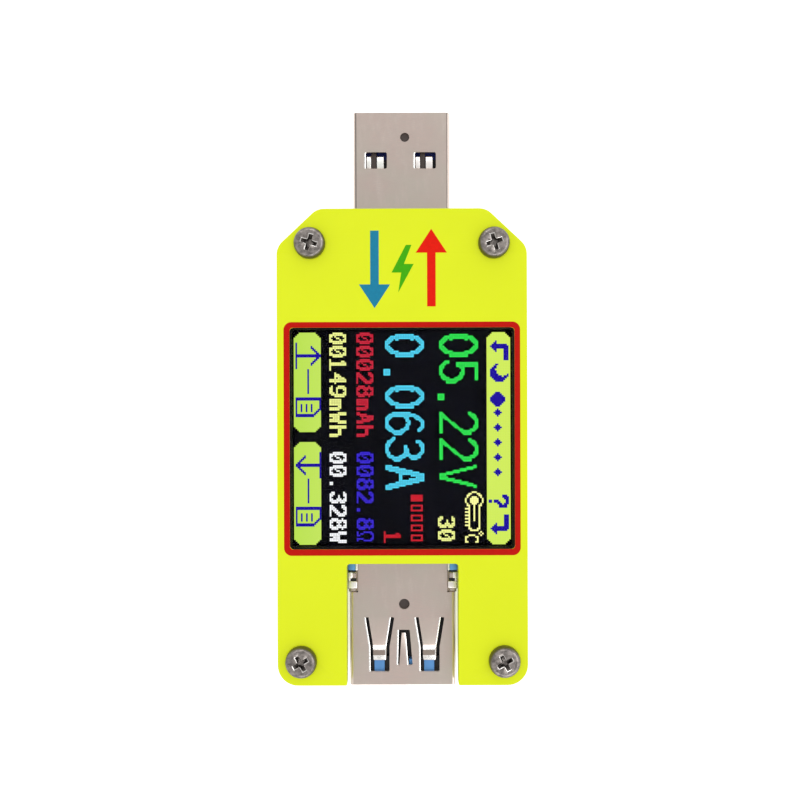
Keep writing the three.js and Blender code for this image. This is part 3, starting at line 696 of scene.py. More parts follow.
def solder_mask():
    """Green lacquer over copper: lighter where traces run below it, bare laminate on cut edges."""
    green = (0.006, 0.085, 0.03, 1)
    made = Finish("green_board", green, 0.3)
    runs = made.node("ShaderNodeTexBrick", offset=0.37, squash=0.7)
    runs.inputs["Scale"].default_value = 0.55
    runs.inputs["Mortar Size"].default_value = 0.06
    made.link(made.coordinates(), runs.inputs["Vector"])
    pour = made.ramp(made.noise(0.3, detail=1), 0.46, 0.5, 0.0, 1.0)
    tracks = made.math("MULTIPLY", runs.outputs["Fac"], 0.8)
    copper = made.math("MAXIMUM", tracks, made.math("MULTIPLY", pour, 0.5))
    lacquer = made.mix(copper, green, (0.012, 0.16, 0.05, 1))
    up = made.ramp(made.facing_up(), 0.4, 0.6, 0.0, 1.0)
    weave = made.ramp(made.noise(3.0, (1, 1, 9.0)), 0.3, 0.7, 0.0, 1.0)
    edge = made.mix(weave, (0.32, 0.3, 0.13, 1), (0.45, 0.42, 0.22, 1))
    made.paint(made.mix(up, edge, lacquer))
    made.polish(made.ramp(made.noise(1.0), 0.3, 0.7, 0.22, 0.38))
    made.bump(copper, 0.03, 0.5)
    return made.material


def film():
    """Amber polyimide over parallel copper traces."""
    amber = (0.42, 0.13, 0.015, 1)
    made = Finish("amber_film", amber, 0.3)
    split = made.node("ShaderNodeSeparateXYZ")
    made.link(made.coordinates(), split.inputs["Vector"])
    trace = made.ramp(made.math("PINGPONG", split.outputs["X"], 0.3), 0.13, 0.17, 0.0, 1.0)
    made.paint(made.mix(trace, amber, (0.5, 0.2, 0.03, 1)))
    made.polish(made.ramp(made.noise(1.2), 0.3, 0.7, 0.22, 0.4))
    made.bump(trace, 0.02, 0.6)
    return made.material


def paper():
    """The studio floor: pale, with a grain too fine to show."""
    made = Finish("floor_paper", (0.86, 0.86, 0.86, 1), 0.9)
    made.paint(made.mix(made.noise(0.05), (0.84, 0.84, 0.84, 1), (0.88, 0.88, 0.88, 1)))
    made.set(Emission_Color=(1, 1, 1, 1), Emission_Strength=0.5)
    return made.material


# ---------------------------------------------------------------- display grid
LCD_CELLS = 128
PITCH_X = 0.2097
PITCH_Y = 0.2055
LCD_CENTRE_Y = -5.0
LCD_LEFT = -PITCH_X * LCD_CELLS / 2
LCD_TOP = LCD_CENTRE_Y + PITCH_Y * LCD_CELLS / 2
LAYER = 0.012  # one lit layer's height

YELLOW = acrylic()
CLEAR = clear_pane()
# The plug's steel has a painted shade line at each bend, the socket's a painted pale highlight there; both
# have steep sides painted lighter.
STEEL = plated_steel("shell_steel", (0.585, 0.5, 0.45, 1))
SOCKET_STEEL = plated_steel("socket_steel", (0.585, 0.5, 0.45, 1), bend=1.5)
BUTTON_STEEL = plated_steel("button_steel", (0.8, 0.78, 0.75, 1), bend=0)
# pale steel for cut edges, chamfers and slopes, partly a painted highlight
CUT_EDGE_HIGHLIGHT = cut_edge_highlight()
# steel painted dark as shade: the flat band of the socket's fingers and the seat beside the rear corner lobes
SHADED_STEEL = plated_steel("painted_shade_steel", (0.36, 0.3, 0.26, 1), (9.0, 1.0, 1.0), bend=0)
SCREW = screw_steel()
BRASS = turned_metal("brass", (0.62, 0.42, 0.13, 1))
TIN = turned_metal("solder_tin", (0.62, 0.62, 0.6, 1), (0.25, 0.45))
GOLD = gold()
BLUE = moulded("blue_plastic", (0.10, 0.29, 0.62, 1))
# the blue plastic painted dark as shade, deep in the plug's latch windows
SHADED_BLUE = moulded("shaded_blue_plastic", (0.012, 0.02, 0.13, 1))
BLACK = moulded("black_plastic", (0.012, 0.012, 0.013, 1))
# a dark brown that stands in for shade: under the coding holes and between the latch prongs
SHADE_BROWN = moulded("painted_shade_brown", (0.04, 0.028, 0.024, 1))
# near-white steel painted as a highlight: the plug's latch prongs and the socket's rear corner lobes and legs
HIGHLIGHT_STEEL = plated_steel("highlight_steel", (0.96, 0.94, 0.91, 1), rough=(0.3, 0.5), bend=0)
WHITE = moulded("white_plastic", (0.78, 0.78, 0.74, 1))
TANTALUM = moulded("tantalum", (0.55, 0.27, 0.03, 1))
CERAMIC = moulded("ceramic", (0.34, 0.2, 0.1, 1))
BOARD = solder_mask()
PANEL = panel_black()
FILM = film()
SEAL = moulded("window_seal", (0.004, 0.004, 0.005, 1), (0.7, 0.85), ior=1.2)
FOAM = moulded("foam", (0.025, 0.025, 0.027, 1), (0.85, 0.95), 3.0)


# ---------------------------------------------------------------- plates
def screw_axis(node):
    """Where a screw or standoff stands, from its box."""
    low, high = limits(node)
    return (low.x + high.x) / 2, (low.y + high.y) / 2


def body_outline(inset, notch_half, notch_end):
    """The plates' outline: chamfered towards the plug, notched for the socket."""
    right = HALF_WIDTH - inset
    low = PLATE_LOW.y + inset
    high = PLATE_HIGH.y - inset
    half = [
        (notch_half, notch_end, NOTCH_ROUND),
        (notch_half, low, NOTCH_MOUTH_ROUND),
        (right, low, BOTTOM_ROUND),
        (right, high - TOP_CHAMFER_Y, CHAMFER_ROUND),
        (right - TOP_CHAMFER_X, high, CHAMFER_ROUND),
    ]
    return rounded(half + [(-x, y, radius) for x, y, radius in reversed(half)])


def screw_holes():
    """Round holes where the screws pass."""
    radius = 1.1
    return [circle(*screw_axis(f"front_screw_{place}"), radius) for place in SCREW_PLACES]


def window_loop(grow, radius):
    """The window's outline, grown or shrunk."""
    return rectangle(
        WINDOW_LOW.x - grow, WINDOW_HIGH.x + grow, WINDOW_LOW.y - grow, WINDOW_HIGH.y + grow, radius
    )


def plates():
    """Front plate, rear plate and the clear pane."""
    edge = 0.07
    loops = [body_outline(0, FRONT_NOTCH_HALF, NOTCH_END_Y), *screw_holes()]
    front = slab(loops, PLATE_LOW.z, FRONT_FACE, edge)
    front = cut(front, slab([window_loop(0.05, 0.5)], PLATE_LOW.z - 1, FRONT_FACE + 1))
    piece("front_plate_skin", front, YELLOW, "front_plate")
    loops = [body_outline(0, REAR_NOTCH_HALF, NOTCH_END_Y), *screw_holes()]
    rear = slab(loops, REAR_LOW.z, REAR_HIGH.z, edge)
    piece("rear_plate_skin", rear, YELLOW, "rear_plate")
    pane = slab([window_loop(0, 0.45)], WINDOW_LOW.z + 0.02, WINDOW_HIGH.z - 0.03)
    for face in pane.faces:
        face.material_index = 0 if abs(face.normal.z) > 0.5 else 1
    piece("window_pane", pane, CLEAR, "display_window", edges=[SEAL])
    seal = slab([window_loop(0.04, 0.48), window_loop(-0.1, 0.4)], WINDOW_LOW.z, WINDOW_HIGH.z - 0.01, 0.01)
    piece("window_seal", seal, SEAL)


# ---------------------------------------------------------------- printed marks on the front plate
INK_HEIGHT = 0.012


def block_arrow(x, tail_y, tip_y, shaft, head, head_length):
    """A plain straight arrow along Y."""
    way = 1 if tip_y > tail_y else -1
    neck = tip_y - way * head_length
    right = [(shaft, tail_y), (shaft, neck), (head, neck), (0, tip_y)]
    left = [(-px, py) for px, py in reversed(right[:-1])]
    return [(x + px, py) for px, py in right + left]


def bolt_mark(x, y, width, length):
    """A plain lightning flash."""
    shape = [(0.15, 0.5), (-0.5, -0.08), (-0.06, -0.08), (-0.2, -0.5), (0.5, 0.1), (0.06, 0.1), (0.4, 0.5)]
    return [(x + px * width, y + py * length) for px, py in shape]


def printed_marks():
    """The red frame round the window, the two current arrows and the flash."""
    low, high = FRONT_FACE, FRONT_FACE + INK_HEIGHT
    frame_outer = rectangle(
        WINDOW_LOW.x - 0.77, WINDOW_HIGH.x + 0.73, WINDOW_LOW.y - 0.81, WINDOW_HIGH.y + 0.73, 0.95
    )
    frame_inner = window_loop(0.055, 0.45)
    red = ink("red_ink", (0.435, 0.004, 0.0005, 1))
    piece("window_frame_print", slab([frame_outer, frame_inner], low, high), red)
    blue = ink("blue_ink", (0.011, 0.18, 0.3, 1))
    shaft, head, head_length = 0.52, 1.9, 2.9
    down = slab([block_arrow(-3.32, 20.4, 10.95, shaft, head, head_length)], low, high)
    piece("blue_arrow_print", down, blue)
    bright_red = ink("bright_red_ink", (0.65, 0.008, 0.001, 1))
    up = slab([block_arrow(3.6, 11.15, 20.6, shaft, head, head_length)], low, high)
    piece("red_arrow_print", up, bright_red)
    green = ink("green_ink", (0.045, 0.345, 0.002, 1))
    flash = slab([bolt_mark(0.1, 15.75, 2.7, 5.8)], low, high)
    piece("flash_print", flash, green)


# ---------------------------------------------------------------- display picture
def arc(x, y, wide, tall, start, stop, steps=24):
    """Points along part of an ellipse. Angles in degrees, from +X towards +Y."""
    turns = [math.radians(start + (stop - start) * i / steps) for i in range(steps + 1)]
    return [(x + wide * math.cos(t), y + tall * math.sin(t)) for t in turns]


STROKES = {
    "0": [arc(0.5, 0.5, 0.5, 0.5, 0, 360, 40)],
    "1": [[(0.15, 0.78), (0.5, 1), (0.5, 0)], [(0.05, 0), (0.95, 0)]],
    "2": [arc(0.5, 0.72, 0.5, 0.28, 165, -32) + [(0, 0), (1, 0)]],
    "3": [arc(0.48, 0.76, 0.46, 0.24, 160, -75), arc(0.46, 0.28, 0.54, 0.28, 80, -160),
          [(0.33, 0.53), (0.6, 0.53)]],
    "4": [[(0.78, 0), (0.78, 1), (0, 0.33), (1, 0.33)]],
    "5": [[(0.95, 1), (0.12, 1), (0.06, 0.48)], arc(0.47, 0.31, 0.53, 0.31, 142, -160)],
    "6": [arc(0.5, 0.3, 0.5, 0.3, 0, 360, 32), arc(0.6, 0.42, 0.6, 0.58, 200, 55)],
    "8": [arc(0.5, 0.77, 0.43, 0.23, 0, 360, 32), arc(0.5, 0.27, 0.5, 0.27, 0, 360, 32)],
    "9": [arc(0.5, 0.7, 0.5, 0.3, 0, 360, 32), arc(0.4, 0.58, 0.6, 0.58, 20, -125)],
    "A": [[(0, 0), (0.46, 1), (0.62, 1), (1.08, 0)], [(0.18, 0.36), (0.9, 0.36)]],
    "C": [arc(0.5, 0.5, 0.5, 0.5, 50, 310)],
    "V": [[(0, 1), (0.48, 0), (0.6, 0), (1.08, 1)]],
    "W": [[(0, 1), (0.2, 0), (0.5, 0.6), (0.8, 0), (1, 1)]],
    "h": [[(0, 1), (0, 0)], [(0, 0.45), (0.4, 0.62), (0.75, 0.62), (1, 0.42), (1, 0)]],
    "m": [[(0, 0), (0, 0.62), (0.35, 0.62), (0.5, 0.48), (0.5, 0)],
          [(0.5, 0.48), (0.65, 0.62), (0.9, 0.62), (1, 0.5), (1, 0)]],
    "ohm": [[(0, 0), (0.3, 0), (0.3, 0.15), (0, 0.45), (0, 0.78), (0.25, 1), (0.75, 1), (1, 0.78), (1, 0.45),
             (0.7, 0.15), (0.7, 0), (1, 0)]],
}


def stamp(cells, u, v, wide, tall):
    """Lights a block of cells."""
    for du in range(wide):
        for dv in range(tall):
            cells.add((u + du, v + dv))


def stroke(cells, points, wide=1, tall=1, slim=False):
    """Lights the cells along a line of points.

    A slim stroke is thinner where it leans, most of all on a long rise.
    """
    long_rise = 8
    for (u0, v0), (u1, v1) in zip(points, points[1:]):
        across, rise = abs(u1 - u0), abs(v1 - v0)
        steps = max(1, round(2 * max(across, rise)))
        pen_wide, pen_tall = wide, tall
        if slim and wide > 2 and across > 0.25 * rise:
            pen_wide = wide - 1
            if rise > max(long_rise, across):
                pen_tall = 1
        for i in range(steps + 1):
            t = i / steps
            stamp(cells, round(u0 + (u1 - u0) * t), round(v0 + (v1 - v0) * t), pen_wide, pen_tall)


def write(cells, signs, u, v, pitch, width, height, pen, dot=2, slashed=False):
    """Lights a row of signs. u runs along the reading direction and v towards the signs' tops."""
    wide, tall = pen
    for i, sign in enumerate(signs):
        left = round(u + i * pitch)
        if sign == ".":
            stamp(cells, left + (width - dot) // 2, v + 1 - dot // 2, dot, dot)
            continue
        thin = sign == "ohm"
        for line in STROKES[sign]:
            points = [(left + x * (width - wide), v + y * (height - tall)) for x, y in line]
            stroke(cells, points, 1 if thin else wide, tall, slim=True)
        if sign == "0" and slashed:
            slash = [(0.36, 0.28), (0.64, 0.72)]
            stroke(cells, [(left + x * (width - 1), v + y * (height - 1)) for x, y in slash])


def fill(cells, u0, u1, v0, v1, corner=0):
    """Lights a rectangle with its corners cut off."""
    for u in range(u0, u1):
        for v in range(v0, v1):
            from_u = min(u - u0, u1 - 1 - u)
            from_v = min(v - v0, v1 - 1 - v)
            if from_u + from_v >= corner:
                cells.add((u, v))


def disc(cells, u, v, radius):
    """Lights a round spot."""
    reach = math.ceil(radius)
    for du in range(-reach, reach + 1):
        for dv in range(-reach, reach + 1):
            if du * du + dv * dv <= radius * radius:
                cells.add((round(u) + du, round(v) + dv))


def runs(cells):
    """Lit cells as rectangles (u0, u1, v0, v1): runs along u, then equal neighbours joined along v."""
    rows = {}
    for u, v in cells:
        rows.setdefault(v, set()).add(u)
    open_runs, done = {}, []
    for v in range(min(rows), max(rows) + 2):
        now = {}
        row = sorted(rows.get(v, ()))
        start = None
        for i, u in enumerate(row):
            start = u if start is None else start
            if i + 1 == len(row) or row[i + 1] != u + 1:
                now[(start, u + 1)] = v
                start = None
        for span, since in open_runs.items():
            if span in now:
                now[span] = since
            else:
                done.append((*span, since, v))
        open_runs = now
    return done


def lit_piece(name, cells, material, level=0):
    """One lit layer of the display, as low blocks on the glass."""
    low = GLASS_HIGH.z + LAYER * level
    bm = bmesh.new()
    for u0, u1, v0, v1 in runs(cells):
        x0, x1 = LCD_LEFT + v0 * PITCH_X, LCD_LEFT + v1 * PITCH_X
        y0, y1 = LCD_TOP - u1 * PITCH_Y, LCD_TOP - u0 * PITCH_Y
        made = bmesh.ops.create_cube(bm, size=1)["verts"]
        bmesh.ops.scale(bm, verts=made, vec=(x1 - x0, y1 - y0, LAYER))
        bmesh.ops.translate(bm, verts=made, vec=((x0 + x1) / 2, (y0 + y1) / 2, low + LAYER / 2))
    return piece(name, bm, material)


def page_icon(cells, u, v):
    """A small page with lines on it."""
    stroke(cells, [(u, v), (u + 11, v)])
    stroke(cells, [(u, v), (u, v + 14)], 2)
    stroke(cells, [(u + 10, v), (u + 10, v + 10), (u + 6, v + 14)], 2)
    stroke(cells, [(u, v + 14), (u + 7, v + 14)])
    for row in (3, 6, 9):
        stroke(cells, [(u + 4, v + row), (u + 8, v + row)])


def step_icon(cells, u, v, way):
    """An arrow that points up or down, over a base line."""
    base, tip = (v, v + 14) if way > 0 else (v + 14, v)
    middle = u + 7
    stroke(cells, [(middle, base), (middle, tip)], 2)
    for side in (-1, 1):
        stroke(cells, [(middle + side * 5, tip - way * 5), (middle, tip)], 2)
    stroke(cells, [(u, base), (u + 15, base)])


def turn_icon(cells, u, v, way):
    """A fat arrow that comes in from one side and turns down to its point at (u, v)."""
    path = [(u + way * 7, v + 8), (u + way, v + 8), (u, v + 7), (u, v + 3)]
    stroke(cells, [(x - 1, y) for x, y in path], 3, 3)
    for row in range(4):
        stroke(cells, [(u - row, v + row), (u + row, v + row)])


def moon_icon(cells, u, v):
    """A crescent."""
    full, bite = set(), set()
    disc(full, u, v, 5.5)
    disc(bite, u - 2, v + 2, 4.0)
    cells.update(full - bite)


def question_icon(cells, u, v):
    """A question mark, as a help sign."""
    stroke(cells, arc(u + 3, v + 7.5, 3, 2.6, 170, -50, 12) + [(u + 3, v + 4), (u + 3, v + 3)], 2, 2)
    stamp(cells, u + 3, v, 2, 2)


def key_bars():
    """The lit bars beside the picture that label the side buttons."""
    left, right = set(), set()
    fill(left, 0, 60, 0, 16, 3)
    fill(left, 66, 128, 0, 16, 3)
    fill(right, 0, 128, 114, 128, 3)
    fade = (srgb(186, 228, 80), LCD_LEFT, LCD_LEFT + 3.5)
    lit_piece("lcd_key_bars_left", left, lit("lit_left_bar", srgb(199, 234, 97), 1.0, fade, 0.9))
    lit_piece("lcd_key_bar_right", right, lit("lit_right_bar", srgb(213, 241, 96), 1.0, gap=0.9))


def key_icons():
    """The dark signs on the lit bars."""
    icons = set()
    for start, way in ((6, 1), (72, -1)):
        step_icon(icons, start, 1, way)
        stroke(icons, [(start + 16, 8), (start + 30, 8)])
        page_icon(icons, start + 33, 1)
    turn_icon(icons, 8, 116, 1)
    turn_icon(icons, 118, 116, -1)
    moon_icon(icons, 24, 121)
    disc(icons, 40, 120, 4.2)
    for i in range(5):
        for row in (-2, -1, 0, 1, 2):
            reach = 2 - abs(row)
            stroke(icons, [(48 + 9 * i - reach, 120 + row), (48 + 9 * i + reach, 120 + row)])
    question_icon(icons, 98, 115)
    lit_piece("lcd_key_icons", icons, lit("lit_icon", srgb(30, 16, 158)), 1)


def readings():
    """The measured values, each in its own colour."""
    big = {"pitch": 15.75, "width": 14, "height": 23, "pen": (3, 2), "dot": 4}
    small = {"pitch": 8, "width": 7, "height": 10, "pen": (2, 1), "slashed": True}
    rows = (
        ("lcd_voltage", "05.22V", 1, 86, big, srgb(50, 238, 86)),
        ("lcd_current", "0.063A", 1, 54, big, srgb(84, 218, 250)),
        ("lcd_energy", "00149mWh", 0, 21, small, srgb(244, 250, 150)),
        ("lcd_power", "00.328W", 72, 21, small, srgb(250, 252, 255)),
        ("lcd_charge", "00028mAh", 0, 37, small, srgb(206, 40, 62)),
        ("lcd_resistance", ["0", "0", "8", "2", ".", "8", "ohm"], 72, 37, small, srgb(58, 42, 214)),
        ("lcd_temperature", "30", 111, 85, small, srgb(244, 250, 150)),
        ("lcd_memory_slot", "1", 120, 53, small, srgb(206, 34, 48)),
    )
    core_level, gap_level = 0.84, 0.45
    for name, signs, u, v, layout, color in rows:
        cells = set()
        write(cells, signs, u, v, **layout)
        core = {(u, v) for u, v in cells if {(u - 1, v), (u + 1, v), (u, v - 1), (u, v + 1)} <= cells}
        look = name.replace("lcd", "lit")
        lit_piece(name, cells - core, lit(look, color, gap=gap_level))
        if core:
            lit_piece(f"{name}_core", core, lit(f"{look}_core", scaled(color, core_level), gap=gap_level))


def small_icons():
    """A thermometer with its degree sign, and a row of blocks for the memory slot."""
    warm = set()
    for i in range(33):
        turn = 2 * math.pi * i / 32
        warm.add((round(101 + 4.6 * math.cos(turn)), round(106 + 4.6 * math.sin(turn))))
    warm = {(u, v) for u, v in warm if not (u > 103 and 104 <= v <= 108)}
    disc(warm, 101, 106, 2.4)
    stroke(warm, [(101, 106), (113, 106)])
    for v in (103, 109):
        stroke(warm, [(105, v), (118, v)])
    stroke(warm, [(118, 103), (119, 104), (119, 108), (118, 109)])
    for u in range(106, 118, 2):
        stroke(warm, [(u, 101), (u, 102)])
    stroke(warm, [(120, 110), (121, 111), (122, 110), (121, 109), (120, 110)])
    write(warm, "C", 122, 101, 8, 6, 8, (1, 1))
    lit_piece("lcd_thermometer", warm, lit("lit_thermometer", srgb(252, 252, 160)))
    blocks = set()
    for i in range(5):
        fill(blocks, 98 + 6 * i, 102 + 6 * i, 69, 76)
    inner = set()
    for i in range(1, 5):
        fill(inner, 99 + 6 * i, 101 + 6 * i, 70, 75)
    lit_piece("lcd_slot_blocks", blocks - inner, lit("lit_slot_blocks", srgb(206, 34, 48)))


def display():
    """The panel behind the window: frame, backlight, glass, flex ribbon and its pads, and the picture."""
    frame_low, frame_high = limits("lcd_frame")
    wall = 0.55
    outer = rectangle(frame_low.x, frame_high.x, frame_low.y, frame_high.y, 0.4)
    inner = rectangle(frame_low.x + wall, frame_high.x - wall, frame_low.y + wall, frame_high.y - wall, 0.2)
    walls = slab([outer, inner], frame_low.z, frame_high.z, 0.05)
    floor = slab([inner], frame_low.z, frame_low.z + 0.4)
    opening = box(-6.4, 6.4, frame_high.y - 0.8, frame_high.y + 1, GLASS_LOW.z, frame_high.z + 1)
    nicks = [
        box(side * (frame_high.x - 0.2), side * (frame_high.x + 1), y - 1.2, y + 1.2,
            frame_low.z + 0.5, frame_low.z + 1.3)
        for side in (-1, 1) for y in (-14.0, -3.6, 6.8)
    ]
    piece("lcd_tray", cut(joined(walls, floor), opening, *nicks), WHITE, "lcd_frame")
    low, high = limits("lcd_backlight")
    piece("lcd_light_guide", filling(low, high, 0.05), WHITE, "lcd_backlight")
    glass = merged(
        box(GLASS_LOW.x, GLASS_HIGH.x, GLASS_LOW.y, GLASS_HIGH.y, GLASS_LOW.z, GLASS_HIGH.z - 0.16, 0.02),
        box(GLASS_LOW.x + 0.15, GLASS_HIGH.x - 0.15, GLASS_LOW.y + 0.2, GLASS_HIGH.y - 1.5,
            GLASS_HIGH.z - 0.15, GLASS_HIGH.z, 0.02),
    )
    piece("lcd_panel_glass", glass, PANEL, "lcd_glass")
    low, high = limits("lcd_pad")
    piece("lcd_foam_pad", filling(low, high, 0.05), FOAM, "lcd_pad")
    flex_ribbon()
    key_bars()
    key_icons()
    readings()
    small_icons()


def flex_ribbon():
    """The amber ribbon from the glass down to its solder pads."""
    low, high = limits("lcd_flex")
    start_z = high.z - 0.15
    end_z = low.z
    fold_start, fold_length = 0.32, 0.34  # as shares of the ribbon's length
    stations = []
    for i in range(33):
        t = i / 32
        y = low.y + (high.y - low.y) * t
        fall = min(1.0, max(0.0, (t - fold_start) / fold_length))
        ease = fall * fall * (3 - 2 * fall)
        stations.append((0, y, start_z + (end_z - start_z) * ease, high.x))
    piece("lcd_ribbon", strip(stations, 0.13), FILM, "lcd_flex")
    first, pitch, half = -5.4, 0.8, 0.22
    places = [first + pitch * i for i in range(14)]
    joints = [
        box(x - half, x + half, high.y - 1.3, high.y + 0.35, end_z, end_z + 0.24, 0.08)
        for x in places
    ]
    piece("lcd_ribbon_joints", merged(*joints), TIN)


# ---------------------------------------------------------------- fasteners
THREAD_PITCH = 0.4
RECESS_TURNS = {"plug_left": -0.3, "plug_right": 0.3, "socket_left": 0.53, "socket_right": 0.49}


def wing(length, width, depth):
    """One bar of a cross recess, cut from z = 0 down: a chamfer that takes the pale edge steel as a painted
    highlight, then tapering walls.
    """
    lip = 0.08
    bm = bmesh.new()
    rings = []
    for z, half_length, half_width in (
        (lip, length + 2 * lip, width + 2 * lip),
        (-lip, length, width),
        (-depth, length * 0.5, width * 0.75),
    ):
        ring = [(sx * half_length, sy * half_width, z) for sx, sy in ((-1, -1), (1, -1), (1, 1), (-1, 1))]
        rings.append([bm.verts.new(corner) for corner in ring])
    for index, (low, high) in zip((1, 0), zip(rings, rings[1:])):
        for i in range(4):
            face = bm.faces.new((low[i], low[(i + 1) % 4], high[(i + 1) % 4], high[i]))
            face.material_index = index
    bm.faces.new(rings[0])
    bm.faces.new(rings[-1])
    bmesh.ops.recalc_face_normals(bm, faces=bm.faces)
    return bm


def pan_screw(shank):
    """A pan head screw with its head on z = 0 and its thread pointing down."""
    head, height, rim, core, thread = 1.9, 1.2, 0.5, 0.78, 0.9
    profile = [(0, -shank), (0.6, -shank), (thread, -shank + 0.3)]
    turns = int((shank - 0.5) / THREAD_PITCH)
    for i in range(turns):
        z = -shank + 0.35 + i * THREAD_PITCH
        profile += [(core, z), (thread, z + THREAD_PITCH / 2)]
    profile += [(0.88, -0.02), (thread, 0), (head - 0.06, 0), (head, 0.06), (head, rim)]
    for i in range(1, 9):
        t = i / 8 * math.pi / 2
        profile.append((head - rim * (1 - math.cos(t)), rim + (height - rim) * math.sin(t)))
    profile += [(0, height)]
    body = lathe(profile, steps=64)
    wings = [turned(moved(wing(0.97, 0.22, 0.85), z=height), i * math.pi / 2) for i in range(2)]
    pit = [(0, height - 0.95), (0.3, height - 0.8), (0.45, height + 0.2), (0, height + 0.2)]
    middle = lathe(pit, steps=24)
    return cut(body, wings[0], wings[1], middle)


def hex_pillar(length, bore):
    """A hexagonal pillar with turned ends and a threaded bore, from z = 0 up."""
    flats, chamfer, core, thread = 3.5, 0.18, 0.88, 1.0
    corner = flats / 2 / math.cos(math.pi / 6)
    body = slab([circle(0, 0, corner, 6)], 0, length)
    lower = [(0, 0), (flats / 2, 0), (corner + 0.05, chamfer)]
    upper = [(radius, length - z) for radius, z in reversed(lower)]
    shaped = combined(body, "INTERSECT", lathe(lower + upper))
    if not bore:
        return shaped
    hole = [(0, -0.5), (thread, -0.5), (thread, 0.1)]
    z = 0.1
    while z < length + THREAD_PITCH / 2:
        hole += [(core, z + THREAD_PITCH / 2), (thread, z + THREAD_PITCH)]
        z += THREAD_PITCH
    hole += [(thread, length + 0.7), (0, length + 0.7)]
    return cut(shaped, lathe(hole, steps=32))


def fasteners():
    """Four stacks of screw, standoff, board, standoff and screw."""
    front_shape = pan_screw(3.2)
    rear_shape = pan_screw(3.6)
    upper_shape = hex_pillar(PLATE_LOW.z - BOARD_TOP, True)
    lower_shape = hex_pillar(BOARD_UNDER - REAR_HIGH.z, False)
    for index, place in enumerate(SCREW_PLACES):
        x, y = screw_axis(f"front_screw_{place}")
        front = moved(turned(front_shape.copy(), RECESS_TURNS[place]), x, y, FRONT_FACE)
        rear = turned(turned(rear_shape.copy(), math.pi, "X"), 0.4 + 0.37 * index)
        rear = moved(rear, x, y, REAR_LOW.z)
        for end, shape in (("front", front), ("rear", rear)):
            node = f"{end}_screw_{place}"
            piece(f"{node}_body", shape, SCREW, node, smooth=45, edges=[CUT_EDGE_HIGHLIGHT])
        for level, shape, z in (("upper", upper_shape, BOARD_TOP), ("lower", lower_shape, REAR_HIGH.z)):
            pillar = moved(shape.copy(), x, y, z)
            piece(f"{level}_pillar_{place}", pillar, BRASS, f"{level}_standoff_{place}")


# ---------------------------------------------------------------- plug
def tube_section(half, low, high):
    """The section of a folded sheet tube, outside and inside."""
    outer = rectangle(-half, half, low, high, TUBE_ROUND, 8)
    inner = rectangle(-half + SHEET, half - SHEET, low + SHEET, high - SHEET, TUBE_INNER_ROUND, 8)
    return [outer, inner]


def side_span(side, near, far):
    """A span across X on one side, in rising order."""
    return sorted((side * near, side * far))


def seam_groove(y0, y1, z, depth):
    """The dovetailed joint where a folded tube's edges meet, as thin blocks to cut away."""
    half = 0.025
    sway = 0.45
    teeth = 3
    step = (y1 - y0) / (2 * teeth)
    tools = []
    for i in range(2 * teeth):
        x = sway if i % 2 else -sway
        start = y0 + i * step
        tools.append(box(x - half, x + half, start - half, start + step + half, z - depth, z + depth))
        if i:
            tools.append(box(-sway - half, sway + half, start - half, start + half, z - depth, z + depth))
    return tools


SLOT_HALF = 0.62  # the grooves that the contacts lie in
LATCH_X = 3.055
LATCH_HALF = 1.395


def plug_shell():
    """The plug's steel tube with its latch windows, coding hole, seam and feet."""
    low, high = PLUG_LOW.z, PLUG_HIGH.z
    tube = standing(slab(tube_section(PLUG_HALF, low, high), PLUG_REAR_Y, TIP_Y, 0.08))
    tools = []
    for side in (-1, 1):
        left = side * LATCH_X - LATCH_HALF
        loop = rectangle(left, left + 2 * LATCH_HALF - 0.15, TIP_Y - 7.0, TIP_Y - 4.95, 0.22, 4)
        tools += punched(loop, high, 1)
        tools += punched(loop, low, -1)
    hole_x, hole_y = 0.42, TIP_Y - 3.1
    tools.append(slab([circle(hole_x, hole_y, 0.57)], high - 0.8, high + 0.5))
    shell = cut(tube, *tools, *seam_groove(PLUG_REAR_Y + 1.0, TIP_Y - 0.5, low, 0.06))
    foot_low, foot_high = PLUG_REAR_Y + 0.8, PLUG_REAR_Y + 2.2
    spans = [side_span(side, PLUG_HALF - 0.2, PLUG_HALF + 1.6) for side in (-1, 1)]
    feet = [box(*span, foot_low, foot_high, BOARD_TOP, BOARD_TOP + SHEET, 0.06) for span in spans]
    piece("plug_shell_sheet", merged(shell, *feet), STEEL, "plug_shell", edges=[CUT_EDGE_HIGHLIGHT])
    # painted shade: a dark brown sheet under the coding hole
    hole_shade = box(-0.6, 1.6, TIP_Y - 4.2, TIP_Y - 2.0, high - SHEET - 0.12, high - SHEET - 0.02, 0.03)
    piece("plug_hole_shade", hole_shade, SHADE_BROWN)


def plug_inside():
    """The plug's blue tongue, with its contacts and latch prongs."""
    low, high = limits("plug_insulator")
    tongue_top = limits("plug_contact_1")[0].z
    cavity_y = TIP_Y - 8.65
    section = rectangle(low.x, high.x, low.z, high.z, 0.4, 5)
    body = standing(slab([section], low.y, high.y, 0.05))
    cavity = box(-PLUG_HALF - 1, PLUG_HALF + 1, cavity_y, TIP_Y + 1, tongue_top, high.z + 1)
    slots = [
        box(x - SLOT_HALF, x + SLOT_HALF, low.y - 1, cavity_y + 0.5, tongue_top, tongue_top + 0.25)
        for x in CONTACT_X
    ]
    rear_slots = [
        box(x - 0.45, x + 0.45, cavity_y - 0.4, cavity_y + 1, tongue_top - 0.3, tongue_top + 1.2)
        for x in FAST_CONTACT_X
    ]
    body = softened(cut(body, cavity, *slots, *rear_slots), FINE_BEVEL, 2, 50)
    piece("plug_tongue", body, BLUE, "plug_insulator")
    plug_contacts()
    plug_springs(cavity_y, tongue_top)
    latch_prongs(tongue_top)


